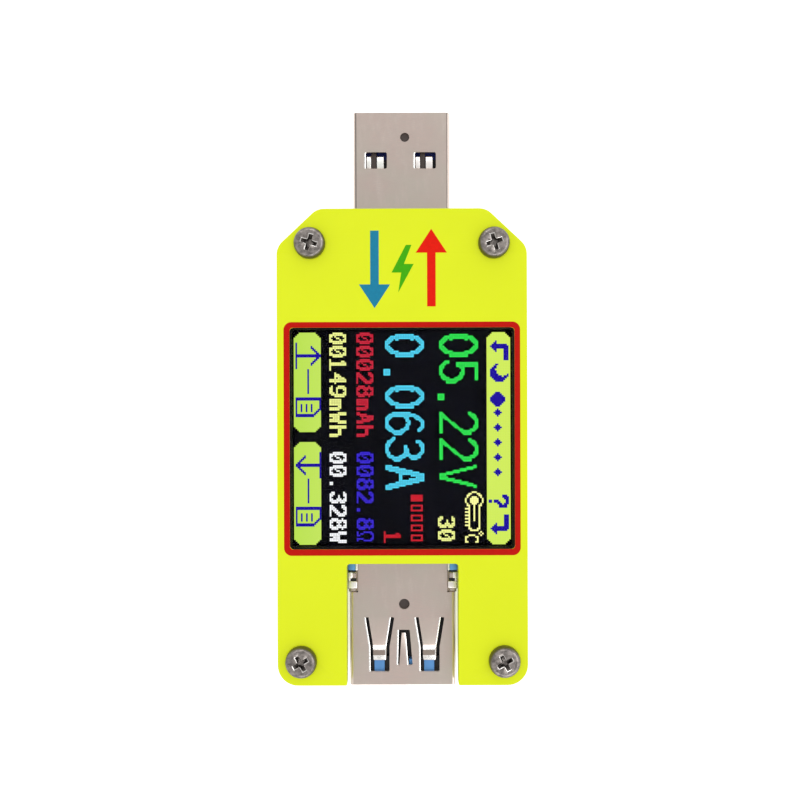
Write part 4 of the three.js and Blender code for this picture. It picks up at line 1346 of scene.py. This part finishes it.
def plug_contacts():
    """The four gold strips on the plug's tongue, bent down at their tips."""
    for i, x in enumerate(CONTACT_X):
        contact_low, contact_high = limits(f"plug_contact_{i + 1}")
        z = contact_low.z
        nose = contact_high.y
        stations = [
            (x, contact_low.y, z, 0.5),
            (x, nose - 0.5, z, 0.5),
            (x, nose - 0.15, z - 0.02, 0.45),
            (x, nose, z - 0.1, 0.38),
        ]
        shape = softened(strip(stations, CONTACT_THICKNESS), FINE_BEVEL)
        piece(f"plug_contact_{i + 1}_strip", shape, GOLD, f"plug_contact_{i + 1}")


def plug_springs(y, z):
    """The five high-speed contacts, which rise from the back of the tongue."""
    path = [(y - 0.2, 0.1), (y + 0.5, 0.14), (y + 1.1, 0.42), (y + 1.5, 0.4), (y + 1.9, 0.15)]
    springs = []
    for x in FAST_CONTACT_X:
        springs.append(softened(strip([(x, py, z + rise, 0.3) for py, rise in path], 0.1), 0.02))
    piece("plug_rear_springs", merged(*springs), GOLD)


def latch_prongs(tongue_top):
    """Behind each latch window: two prongs in near-white steel as a painted highlight, a strip of painted
    shade between them, over a bridge of blue plastic painted dark as shade, with black painted shadow at
    their right.
    """
    prongs, strips = [], []
    top = PLUG_HIGH.z - SHEET - 0.2
    tip = TIP_Y - 5.42
    for side in (-1, 1):
        centre = side * LATCH_X
        for offset, half in ((-1.02, 0.29), (0.42, 0.43)):
            path = [(tip - 2.2, top - 0.9), (tip - 1.7, top - 0.25), (tip - 1.2, top), (tip - 0.4, top),
                    (tip - 0.12, top - 0.06), (tip, top - 0.3)]
            stations = [(centre + offset, y, z, half) for y, z in path]
            prongs.append(softened(strip(stations, 0.14), 0.06, 3))
        x = centre - 0.39
        strips.append(box(x - 0.31, x + 0.31, TIP_Y - 7.6, TIP_Y - 4.7, tongue_top + 0.2, top - 0.15, 0.05))
    piece("plug_latch_prongs", merged(*prongs), HIGHLIGHT_STEEL)
    piece("plug_latch_strips", merged(*strips), SHADE_BROWN)
    bridge = box(-5.3, 5.3, TIP_Y - 7.9, TIP_Y - 4.5, tongue_top + 0.22, tongue_top + 0.42, 0.04)
    piece("plug_contact_bridge", bridge, SHADED_BLUE)
    floor = tongue_top + 0.42
    shades = [
        box(side * LATCH_X + 0.8, side * LATCH_X + 1.45, TIP_Y - 7.6, TIP_Y - 5.45, floor, floor + 0.06)
        for side in (-1, 1)
    ]
    piece("plug_latch_shades", merged(*shades), BLACK)


# ---------------------------------------------------------------- socket
SPRING_CENTRE = 0.12  # the fingers and the middle tongue stand this far off the middle
FINGER_X = 3.11
FINGER_ROOT_Y = MOUTH_Y + 8.4
FINGER_NECK_Y = MOUTH_Y + 4.7
OPENING_END_Y = MOUTH_Y + 1.65
GAP_SHIFT = 0.15
GAP_HALF = {FINGER_ROOT_Y: 1.8, FINGER_NECK_Y: 1.2, OPENING_END_Y: 1.18}
LANCE_TIP_Y = MOUTH_Y + 6.25
LANCE_ROOT_Y = MOUTH_Y + 2.45
LIT_EDGE = 0.17
CORNER_X = 5.52  # where the sheet is cut away at the rear corners
CORNER_Y = SOCKET_REAR_Y - 3.8
HOLE_Y = MOUTH_Y + 10.03


def finger_gap(side):
    """The hole that a spring finger leaves in the sheet: a V that runs into a window."""
    middle = SPRING_CENTRE + side * FINGER_X + GAP_SHIFT
    right = [(middle + half, y) for y, half in GAP_HALF.items()]
    left = [(middle - half, y) for y, half in GAP_HALF.items()]
    return rounded([(x, y, 0.16) for x, y in right + left[::-1]], 4)


def spring_finger(side, sheet_z, inward):
    """A finger that bends in from the sheet, makes contact at a flat bend and turns up at its tip.

    Its path lists the distance in from the mouth, the drop below the sheet, and half the width.
    """
    path = (
        (8.8, 0.0, 2.02), (8.48, 0.0, 1.97), (8.4, 0.0, 1.38), (7.0, 0.03, 1.16),
        (5.8, 0.1, 0.97), (5.0, 0.16, 0.85), (4.78, 0.18, 0.83), (4.4, 0.36, 0.83),
        (4.3, 0.62, 0.83), (3.5, 0.62, 0.83), (3.4, 0.6, 0.83), (2.9, 0.34, 0.75),
    )
    x = SPRING_CENTRE + side * FINGER_X + 0.12
    base = sheet_z - (SHEET if inward > 0 else 0) + 0.01
    stations = [(x, MOUTH_Y + depth, base - inward * drop, half) for depth, drop, half in path]
    # The chamfer and spans 6 and 10, the slopes of the contact bend, take the pale edge steel as a painted
    # highlight; span 8, the flat band between them, takes steel painted dark as shade.
    return strip(stations, SHEET - 0.03, LIT_EDGE, bright=(6, 10), dull=(8,))


def lance(sheet_z):
    """The middle tongue, held at the mouth end and bent inwards at its narrow tip."""
    path = ((LANCE_ROOT_Y - 0.3, 0.0, 1.2), (LANCE_ROOT_Y - 0.02, 0.0, 1.15), (LANCE_ROOT_Y, 0.0, 0.56),
            (MOUTH_Y + 3.8, 0.05, 0.45), (MOUTH_Y + 5.0, 0.18, 0.36), (MOUTH_Y + 5.7, 0.32, 0.3),
            (LANCE_TIP_Y, 0.5, 0.24))
    stations = [(SPRING_CENTRE, y, sheet_z - SHEET - drop + 0.01, half) for y, drop, half in path]
    return strip(stations, SHEET - 0.03, LIT_EDGE)


def lance_gap():
    """The hole round the middle tongue."""
    high = LANCE_TIP_Y + 0.6
    corners = [(0.86, high), (-0.5, high), (-0.62, LANCE_ROOT_Y), (1.22, LANCE_ROOT_Y)]
    return rounded([(x, y, 0.14) for x, y in corners], 4)


def rear_corner(side):
    """A leg folded over the shell's rear corner: two lobes on top, then down to the board, in near-white
    steel painted as a highlight, with painted shade beside them.
    """
    outer = SOCKET_HALF + 0.23
    top = SOCKET_HIGH.z - 0.02
    rear = SOCKET_REAR_Y
    # near-white steel painted as a highlight: two lobes, the curled edge, the leg and its foot
    bright = [
        box(5.62, outer, rear - 3.34, rear - 2.44, top - 0.32, top, 0.14, 4),
        box(6.2, outer, rear - 2.1, rear - 1.3, top - 0.36, top - 0.04, 0.14, 4),
        box(5.55, 5.87, rear - 1.12, rear - 0.02, top - 0.3, top, 0.13, 4),
        box(outer - 0.3, outer, rear - 3.3, rear - 1.35, BOARD_TOP + 0.05, top - 0.2, 0.1, 3),
        box(outer - 0.3, outer + 1.75, rear - 3.9, rear - 1.55, BOARD_TOP, BOARD_TOP + 0.28, 0.1, 3),
    ]
    plain = [
        box(5.72, 6.45, rear - 2.1, rear - 1.3, top - 0.45, top - 0.1, 0.15, 4),
        box(5.72, 6.66, rear - 3.82, rear - 3.2, top - 0.5, top - 0.16, 0.16, 4),
    ]
    shapes = {
        "lobes": merged(*bright),
        "cheeks": merged(*plain),
        # painted shade: a black sheet under the lobes, and a darker steel seat beside them
        "shade": box(5.35, 6.7, rear - 3.75, rear - 1.12, top - 0.8, top - 0.3, 0.05),
        "seat": box(5.35, 5.76, rear - 3.7, rear - 1.16, top - 0.5, top - 0.22, 0.03),
        "block": box(5.8, 6.78, rear - 1.1, rear - 0.02, top - 1.5, top - 0.1, 0.12),
    }
    return shapes if side > 0 else {name: mirrored(shape) for name, shape in shapes.items()}


def socket_shell():
    """The socket's steel tube with spring fingers above and below, the middle tongue and the legs."""
    low, high = SOCKET_LOW.z, SOCKET_HIGH.z
    tube = standing(slab(tube_section(SOCKET_HALF, low, high), MOUTH_Y, SOCKET_REAR_Y, 0.08))
    tools = []
    for side in (-1, 1):
        tools += punched(finger_gap(side), high, 1)
        tools += punched(finger_gap(side), low, -1)
        corner = side_span(side, CORNER_X, SOCKET_HALF + 1)
        tools.append(box(*corner, CORNER_Y, SOCKET_REAR_Y + 1, high - 0.7, high + 1))
        span = side_span(side, SOCKET_HALF - 0.85, SOCKET_HALF + 1)
        tools.append(box(*span, SOCKET_REAR_Y - 1.3, SOCKET_REAR_Y + 1, low - 1, high + 1))
        span = side_span(side, SOCKET_HALF - 0.6, SOCKET_HALF + 0.5)
        tools.append(box(*span, MOUTH_Y + 4.1, MOUTH_Y + 8.6, low + 1.85, high - 1.85, 0.1))
    tools += punched(lance_gap(), high, 1)
    tools.append(slab([circle(0.2, HOLE_Y, 0.66)], high - 0.8, high + 0.5))
    tools += seam_groove(MOUTH_Y + 0.6, SOCKET_REAR_Y - 0.6, low, 0.06)
    shell = cut(tube, *tools)
    fingers = [spring_finger(side, high, 1) for side in (-1, 1)]
    fingers += [spring_finger(side, low, -1) for side in (-1, 1)]
    whole = merged(shell, lance(high), *fingers)
    piece("socket_shell_sheet", whole, SOCKET_STEEL, "socket_shell", edges=[CUT_EDGE_HIGHLIGHT, SHADED_STEEL])
    materials = {"lobes": HIGHLIGHT_STEEL, "cheeks": STEEL, "shade": BLACK, "seat": SHADED_STEEL, "block": BLUE}
    corners = [rear_corner(side) for side in (-1, 1)]
    for name, material in materials.items():
        piece(f"socket_corner_{name}", merged(*[shapes[name] for shapes in corners]), material)


def socket_inside():
    """The socket's blue block and tongue, black sheets of painted shade that show through the slits, a dark
    sheet of painted shade under the top hole, and the front contacts.
    """
    low, high = limits("socket_insulator")
    inside_half = SOCKET_HALF - SHEET - 0.05
    back_y = MOUTH_Y + 12.2
    tongue_high = SOCKET_HIGH.z - SHEET - 0.72
    tongue_low = tongue_high - 1.84
    rear = SOCKET_REAR_Y + 0.05
    section = rectangle(-inside_half, inside_half, SOCKET_LOW.z + 0.35, SOCKET_HIGH.z - 0.35, 0.55, 5)
    block = standing(slab([section], back_y, rear, 0.05))
    web_high = tongue_low + 0.75
    lip = box(-5.55, 5.55, MOUTH_Y + 1.2, MOUTH_Y + 2.95, tongue_low, tongue_high, 0.12, 3)
    tongue = box(-5.55, 5.55, MOUTH_Y + 1.6, back_y + 0.5, tongue_low, web_high, 0.05)
    flange = box(low.x, high.x, SOCKET_REAR_Y - 1.25, rear, SOCKET_LOW.z + 0.9, SOCKET_HIGH.z - 0.9, 0.1)
    grooves = [
        box(x - SLOT_HALF, x + SLOT_HALF, MOUTH_Y + 1.6, rear + 1, tongue_low - 0.35, tongue_low + 0.0001)
        for x in CONTACT_X
    ]
    clearances, shades = [], []
    spans = [(0.55 + GAP_SHIFT, 1.55), (-1.5, -0.55)]
    centres = [SPRING_CENTRE + side * FINGER_X for side in (-1, 1)]
    dark = [(centre + start, centre + stop) for centre in centres for start, stop in spans] + [(-1.1, 0.8)]
    for x0, x1 in dark:
        clearances.append(box(x0, x1, MOUTH_Y + 1.0, MOUTH_Y + 3.2, tongue_high - 0.4, tongue_high + 1))
        shades.append(box(x0, x1, MOUTH_Y + 1.25, MOUTH_Y + 3.2, tongue_high - 0.45, tongue_high - 0.3))
    whole = cut(joined(block, lip, tongue, flange), *grooves, *clearances)
    piece("socket_tongue", softened(whole, FINE_BEVEL, 2, 50), BLUE, "socket_insulator")
    # painted shade: a black sheet over the tongue's web, which shows through the slits
    slit_shade_sheet = box(-5.3, 5.3, MOUTH_Y + 3.0, back_y, web_high, web_high + 0.2, 0.05)
    inside_z = SOCKET_HIGH.z - SHEET
    # painted shade: a dark brown sheet under the shell's top hole
    hole_shade_box = box(-0.8, 1.2, HOLE_Y - 1.03, HOLE_Y + 1.07, inside_z - 0.14, inside_z - 0.02, FINE_BEVEL)
    piece("socket_slit_shade", merged(slit_shade_sheet, *shades), BLACK)
    pads = [
        box(x - 0.35, x + 0.35, MOUTH_Y + 1.15, MOUTH_Y + 1.8, tongue_low - 0.04, tongue_low + 0.8, 0.04)
        for x in FAST_CONTACT_X
    ]
    piece("socket_front_contacts", merged(*pads), GOLD)
    piece("socket_hole_shade", hole_shade_box, SHADE_BROWN)


def socket_contacts():
    """The four gold springs under the socket's tongue, with their feet on the board."""
    for i, x in enumerate(CONTACT_X):
        contact_low, contact_high = limits(f"socket_contact_{i + 1}")
        upper = contact_high.z - 0.15
        tail = contact_low.z
        stations = [
            (x, contact_low.y, upper + 0.05, 0.4),
            (x, contact_low.y + 0.4, upper - 0.12, 0.5),
            (x, contact_low.y + 2.2, upper - 0.42, 0.5),
            (x, contact_low.y + 4.5, upper, 0.5),
            (x, SOCKET_REAR_Y + 0.1, upper, 0.5),
        ]
        foot = [
            box(x - 0.5, x + 0.5, SOCKET_REAR_Y + 0.1, SOCKET_REAR_Y + 0.25, tail, upper + 0.15, 0.03),
            box(x - 0.5, x + 0.5, SOCKET_REAR_Y + 0.1, contact_high.y, tail, tail + 0.15, 0.03),
        ]
        contact = f"socket_contact_{i + 1}"
        arm = softened(strip(stations, CONTACT_THICKNESS), FINE_BEVEL)
        piece(f"{contact}_strip", merged(arm, *foot), GOLD, contact)


# ---------------------------------------------------------------- side buttons
def buttons():
    """Four side-push buttons, each with a base, a steel cover and a moving plunger."""
    for name in BUTTONS:
        low, high = limits(f"button_base_{name}")
        plunger_low, plunger_high = limits(f"button_plunger_{name}")
        side = 1 if high.x > 0 else -1
        base = filling(low, high, 0.08)
        mouth = side * max(abs(low.x), abs(high.x))
        pocket = box(
            mouth - side * 1.5, mouth + side, plunger_low.y - 0.1, plunger_high.y + 0.1,
            plunger_low.z - 0.1, plunger_high.z + 0.1, 0.05,
        )
        base = softened(cut(base, pocket), FINE_BEVEL, 2, 50)
        piece(f"button_{name}_base", base, BLACK, f"button_base_{name}")
        button_cover(name)
        plunger = filling(plunger_low, plunger_high, 0.1, 3)
        node, body = f"button_plunger_{name}", f"button_{name}"
        piece(f"button_{name}_plunger", plunger, BLACK, node, body)


def button_cover(name):
    """The folded steel cover with two staked holes, and the solder feet at its ends."""
    low, high = limits(f"button_cover_{name}")
    sheet = 0.15
    top = low.z
    span = sorted((low.x, high.x))
    plate = box(*span, low.y + 0.03, high.y - 0.03, top, top + sheet, 0.05)
    middle_x, middle_y = (low.x + high.x) / 2, (low.y + high.y) / 2
    stake_offset, stake_radius = 1.35, 0.32
    holes = [
        slab([circle(middle_x, middle_y + offset, stake_radius, 24)], top - 1, top + 1)
        for offset in (-stake_offset, stake_offset)
    ]
    plate = softened(cut(plate, *holes), 0.02, 2, 50)
    ears = []
    for y0, y1 in ((low.y, low.y + sheet), (high.y - sheet, high.y)):
        ears.append(box(span[0] + 0.5, span[1] - 0.5, y0, y1, top + 0.03, BOARD_UNDER, 0.05))
    piece(f"button_{name}_cover", merged(plate, *ears), BUTTON_STEEL, f"button_cover_{name}")


# ---------------------------------------------------------------- board and electronics
def board():
    """The main board with its notches, screw holes and plated pads."""
    outline = body_outline(0.5, BOARD_NOTCH_HALF, BOARD_NOTCH_END_Y)
    plate = slab([outline, *screw_holes()], BOARD_UNDER, BOARD_TOP, 0.04)
    slot_half = PLUG_HALF + 0.25
    plug_slot = rectangle(-slot_half, slot_half, PLUG_REAR_Y - 0.2, TIP_Y, 0.4, 6)
    plate = cut(plate, slab([plug_slot], BOARD_UNDER - 1, BOARD_TOP + 1))
    piece("board_laminate", plate, BOARD, "main_board")
    pads = []
    for place in SCREW_PLACES:
        x, y = screw_axis(f"front_screw_{place}")
        for z0, z1 in ((BOARD_UNDER - 0.03, BOARD_UNDER), (BOARD_TOP, BOARD_TOP + 0.03)):
            pads.append(slab([circle(x, y, 2.3), circle(x, y, 1.2)], z0, z1))
    piece("board_screw_pads", merged(*pads), TIN)


def chip_leads(axis, ends, span, trim, other_trim, pitch, width, foot, way):
    """The bent leads at both ends of one axis, spread over the span across it."""
    count = int((span[1] - span[0] - 2 * other_trim - 0.4) / pitch) + 1
    first = (span[0] + span[1] - (count - 1) * pitch) / 2
    leads = []
    for end, sign in zip(ends, (1, -1)):
        path = [(end, foot + way * 0.07), (end + sign * 0.3, foot + way * 0.08),
                (end + sign * 0.42, foot + way * 0.35), (end + sign * (trim + 0.05), foot + way * 0.4)]
        stations = [(0, y, z, width / 2) for y, z in (path if sign > 0 else path[::-1])]
        for i in range(count):
            place = first + i * pitch
            lead = strip(stations, 0.07)
            if axis == "x":
                leads.append(moved(turned(lead, -math.pi / 2), y=place))
            else:
                leads.append(moved(lead, x=place))
    return leads


def leaded_chip(node, pitch, lead_width, sides):
    """A moulded chip with bent leads on two or four sides, and a pin-one dimple."""
    low, high = limits(node)
    under = high.z > BOARD_UNDER - 0.01 and low.z < BOARD_UNDER - 0.1
    foot = BOARD_UNDER if under else BOARD_TOP
    way = -1 if under else 1
    reach = 0.75
    trim_x = reach if sides in ("x", "xy") else 0.0
    trim_y = reach if sides in ("y", "xy") else 0.0
    face = foot + way * (high.z - low.z)
    heights = sorted((foot + way * 0.1, face))
    body = box(low.x + trim_x, high.x - trim_x, low.y + trim_y, high.y - trim_y, *heights, 0.09)
    dimple = lathe([(0, face - 0.08), (0.28, face - 0.08), (0.28, face + 0.3), (0, face + 0.3)],
                   low.x + trim_x + 0.7, high.y - trim_y - 0.7, 24)
    piece(f"{node}_body", cut(body, dimple), BLACK, node)
    leads = []
    across, along = (low.x, high.x), (low.y, high.y)
    if trim_x:
        leads += chip_leads("x", across, along, trim_x, trim_y, pitch, lead_width, foot, way)
    if trim_y:
        leads += chip_leads("y", along, across, trim_y, trim_x, pitch, lead_width, foot, way)
    piece(f"{node}_leads", merged(*leads), TIN)


def ended_block(node, material, end, axis="x"):
    """A block with metal ends, such as a capacitor or a shunt."""
    low, high = limits(node)
    lows = [low.x, low.y]
    highs = [high.x, high.y]
    index = "xy".index(axis)
    body = box(low.x + 0.02, high.x - 0.02, low.y + 0.02, high.y - 0.02, low.z, high.z, 0.1)
    piece(f"{node}_body", body, material, node)
    ends = []
    for start, stop in ((lows[index], lows[index] + end), (highs[index] - end, highs[index])):
        spans = [[low.x, high.x], [low.y, high.y]]
        spans[index] = [start, stop]
        ends.append(box(*spans[0], *spans[1], low.z, high.z + 0.02, 0.1))
    piece(f"{node}_ends", merged(*ends), TIN)


def passives():
    """Rows of small resistors and ceramic capacitors along the board's free areas."""
    spots = []
    for i in range(5):
        spots.append((-12.6 + 0.25 * (i % 2), -20.0 - 1.6 * i - 1.0, 0, 1))
        spots.append((9.2, -20.4 - 1.5 * i, 0, 1))
    for i in range(6):
        spots.append((-13.2, 8.0 - 1.7 * i, 1, -1))
        spots.append((13.2, 9.0 - 1.1 * i, 1, -1))
        spots.append((-6.0 + 2.2 * i, -15.8, 1, -1))
        spots.append((-5.5 + 2.2 * i, 3.6, 0, -1))
    for i in range(4):
        spots.append((-9.4 + 1.5 * i, 13.6, 1, 1))
        spots.append((-13.4, -16.0 - 2.2 * i, 0, -1))
        spots.append((13.4, -16.0 - 2.2 * i, 0, -1))
    resistors, capacitors, ends = [], [], []
    for index, (x, y, upright, face) in enumerate(spots):
        length, width = 0.8, 0.42
        height = 0.35 if index % 3 else 0.55
        along, across = (width, length) if upright else (length, width)
        seat = BOARD_TOP if face > 0 else BOARD_UNDER
        z0, z1 = sorted((seat, seat + face * height))
        body = box(x - along, x + along, y - across, y + across, z0, z1, 0.04)
        (resistors if index % 3 else capacitors).append(body)
        for sign in (-1, 1):
            cap_x = (x + sign * (length - 0.17), 0.2) if not upright else (x, width + 0.02)
            cap_y = (y + sign * (length - 0.17), 0.2) if upright else (y, width + 0.02)
            ends.append(box(
                cap_x[0] - cap_x[1], cap_x[0] + cap_x[1], cap_y[0] - cap_y[1], cap_y[0] + cap_y[1],
                z0 - 0.01 if face < 0 else z0, z1 + 0.01 if face > 0 else z1, 0.05,
            ))
    piece("board_resistors", merged(*resistors), BLACK)
    piece("board_ceramics", merged(*capacitors), CERAMIC)
    piece("board_part_ends", merged(*ends), TIN)


def electronics():
    """Everything soldered to the board apart from the connectors and buttons."""
    board()
    leaded_chip("controller_chip", 0.5, 0.24, "xy")
    leaded_chip("memory_chip", 1.27, 0.42, "x")
    leaded_chip("sense_amplifier", 0.65, 0.3, "x")
    leaded_chip("supply_regulator", 1.5, 0.6, "x")
    ended_block("current_shunt", BLACK, 1.1)
    ended_block("input_capacitor", TANTALUM, 0.5)
    ended_block("output_capacitor", TANTALUM, 0.5, "y")
    low, high = limits("clock_crystal")
    can = merged(
        box(low.x + 0.2, high.x - 0.2, low.y + 0.2, high.y - 0.2, low.z, high.z, 0.25, 4),
        box(low.x, high.x, low.y, high.y, high.z - 0.25, high.z, 0.08),
    )
    piece("clock_crystal_can", can, BUTTON_STEEL, "clock_crystal")
    passives()


# ---------------------------------------------------------------- studio
def area_light(name, place, target, size, power, seen_by):
    """A soft square light aimed at a point. Places in metres, power in watts.

    A light seen by gloss alone only shows as a highlight.
    One seen by matt surfaces alone only brightens them.
    """
    light = bpy.data.lights.new(name, "AREA")
    light.shape = "RECTANGLE"
    light.size, light.size_y = size
    light.energy = power
    obj = bpy.data.objects.new(name, light)
    obj.location = place
    obj.rotation_euler = (Vector(target) - Vector(place)).to_track_quat("-Z", "Y").to_euler()
    obj.visible_diffuse = seen_by != "gloss"
    obj.visible_glossy = seen_by != "matt"
    obj.visible_transmission = seen_by != "matt"
    bpy.context.scene.collection.objects.link(obj)


def sky():
    """Soft light from the whole sky: pale at the horizon, dim just above it, bright, then dimmer overhead."""
    world = bpy.data.worlds.new("studio")
    world.use_nodes = True
    nodes, links = world.node_tree.nodes, world.node_tree.links
    place = nodes.new("ShaderNodeTexCoord")
    split = nodes.new("ShaderNodeSeparateXYZ")
    levels = nodes.new("ShaderNodeValToRGB")
    links.new(place.outputs["Generated"], split.inputs["Vector"])
    links.new(split.outputs["Z"], levels.inputs["Fac"])
    links.new(levels.outputs["Color"], nodes["Background"].inputs["Color"])
    stops = ((0.0, 0.95), (0.06, 0.82), (0.2, 0.6), (0.55, 1.0), (0.85, 0.8), (1.0, 0.66))
    ramp = levels.color_ramp
    ramp.elements[0].position, ramp.elements[1].position = stops[0][0], stops[-1][0]
    for position, _ in stops[1:-1]:
        ramp.elements.new(position)
    for element, (_, level) in zip(ramp.elements, stops):
        element.color = (level, level, level, 1)
    nodes["Background"].inputs["Strength"].default_value = 1.0
    bpy.context.scene.world = world


def studio_floor():
    """A wide pale floor under the object."""
    bm = bmesh.new()
    bmesh.ops.create_grid(bm, x_segments=1, y_segments=1, size=6)
    mesh = bpy.data.meshes.new("floor")
    bm.to_mesh(mesh)
    bm.free()
    mesh.materials.append(paper())
    obj = bpy.data.objects.new("floor", mesh)
    bpy.context.scene.collection.objects.link(obj)


def lamps():
    """Three lamps for the highlights on bent steel and glossy edges, and a soft one overhead."""
    middle = (0, 0, 0.008)
    area_light("edge_right", (0.26, 0.0, 0.24), middle, (0.5, 0.2), 0.6, "gloss")
    area_light("edge_plug_end", (-0.04, 0.30, 0.24), middle, (0.3, 0.12), 0.35, "gloss")
    area_light("edge_socket_end", (0.04, -0.30, 0.24), middle, (0.3, 0.12), 0.35, "gloss")
    area_light("overhead", (0, 0, 0.5), middle, (0.3, 0.3), 1.1, "matt")


def viewpoint():
    """The camera, straight above the front plate and turned a little."""
    camera = bpy.data.cameras.new("camera")
    camera.lens = 40
    camera.sensor_width = 36
    camera.clip_start = 0.005
    obj = bpy.data.objects.new("camera", camera)
    aside, along, height, turn = -0.26, -0.23, 119.4, -0.17
    obj.location = (aside * MM, along * MM, height * MM)
    obj.rotation_euler = (0, 0, math.radians(turn))
    bpy.context.scene.collection.objects.link(obj)
    bpy.context.scene.camera = obj
    bpy.context.scene.view_settings.view_transform = "Standard"


plates()
printed_marks()
display()
fasteners()
plug_shell()
plug_inside()
socket_shell()
socket_inside()
socket_contacts()
buttons()
electronics()
studio_floor()
sky()
lamps()
viewpoint()
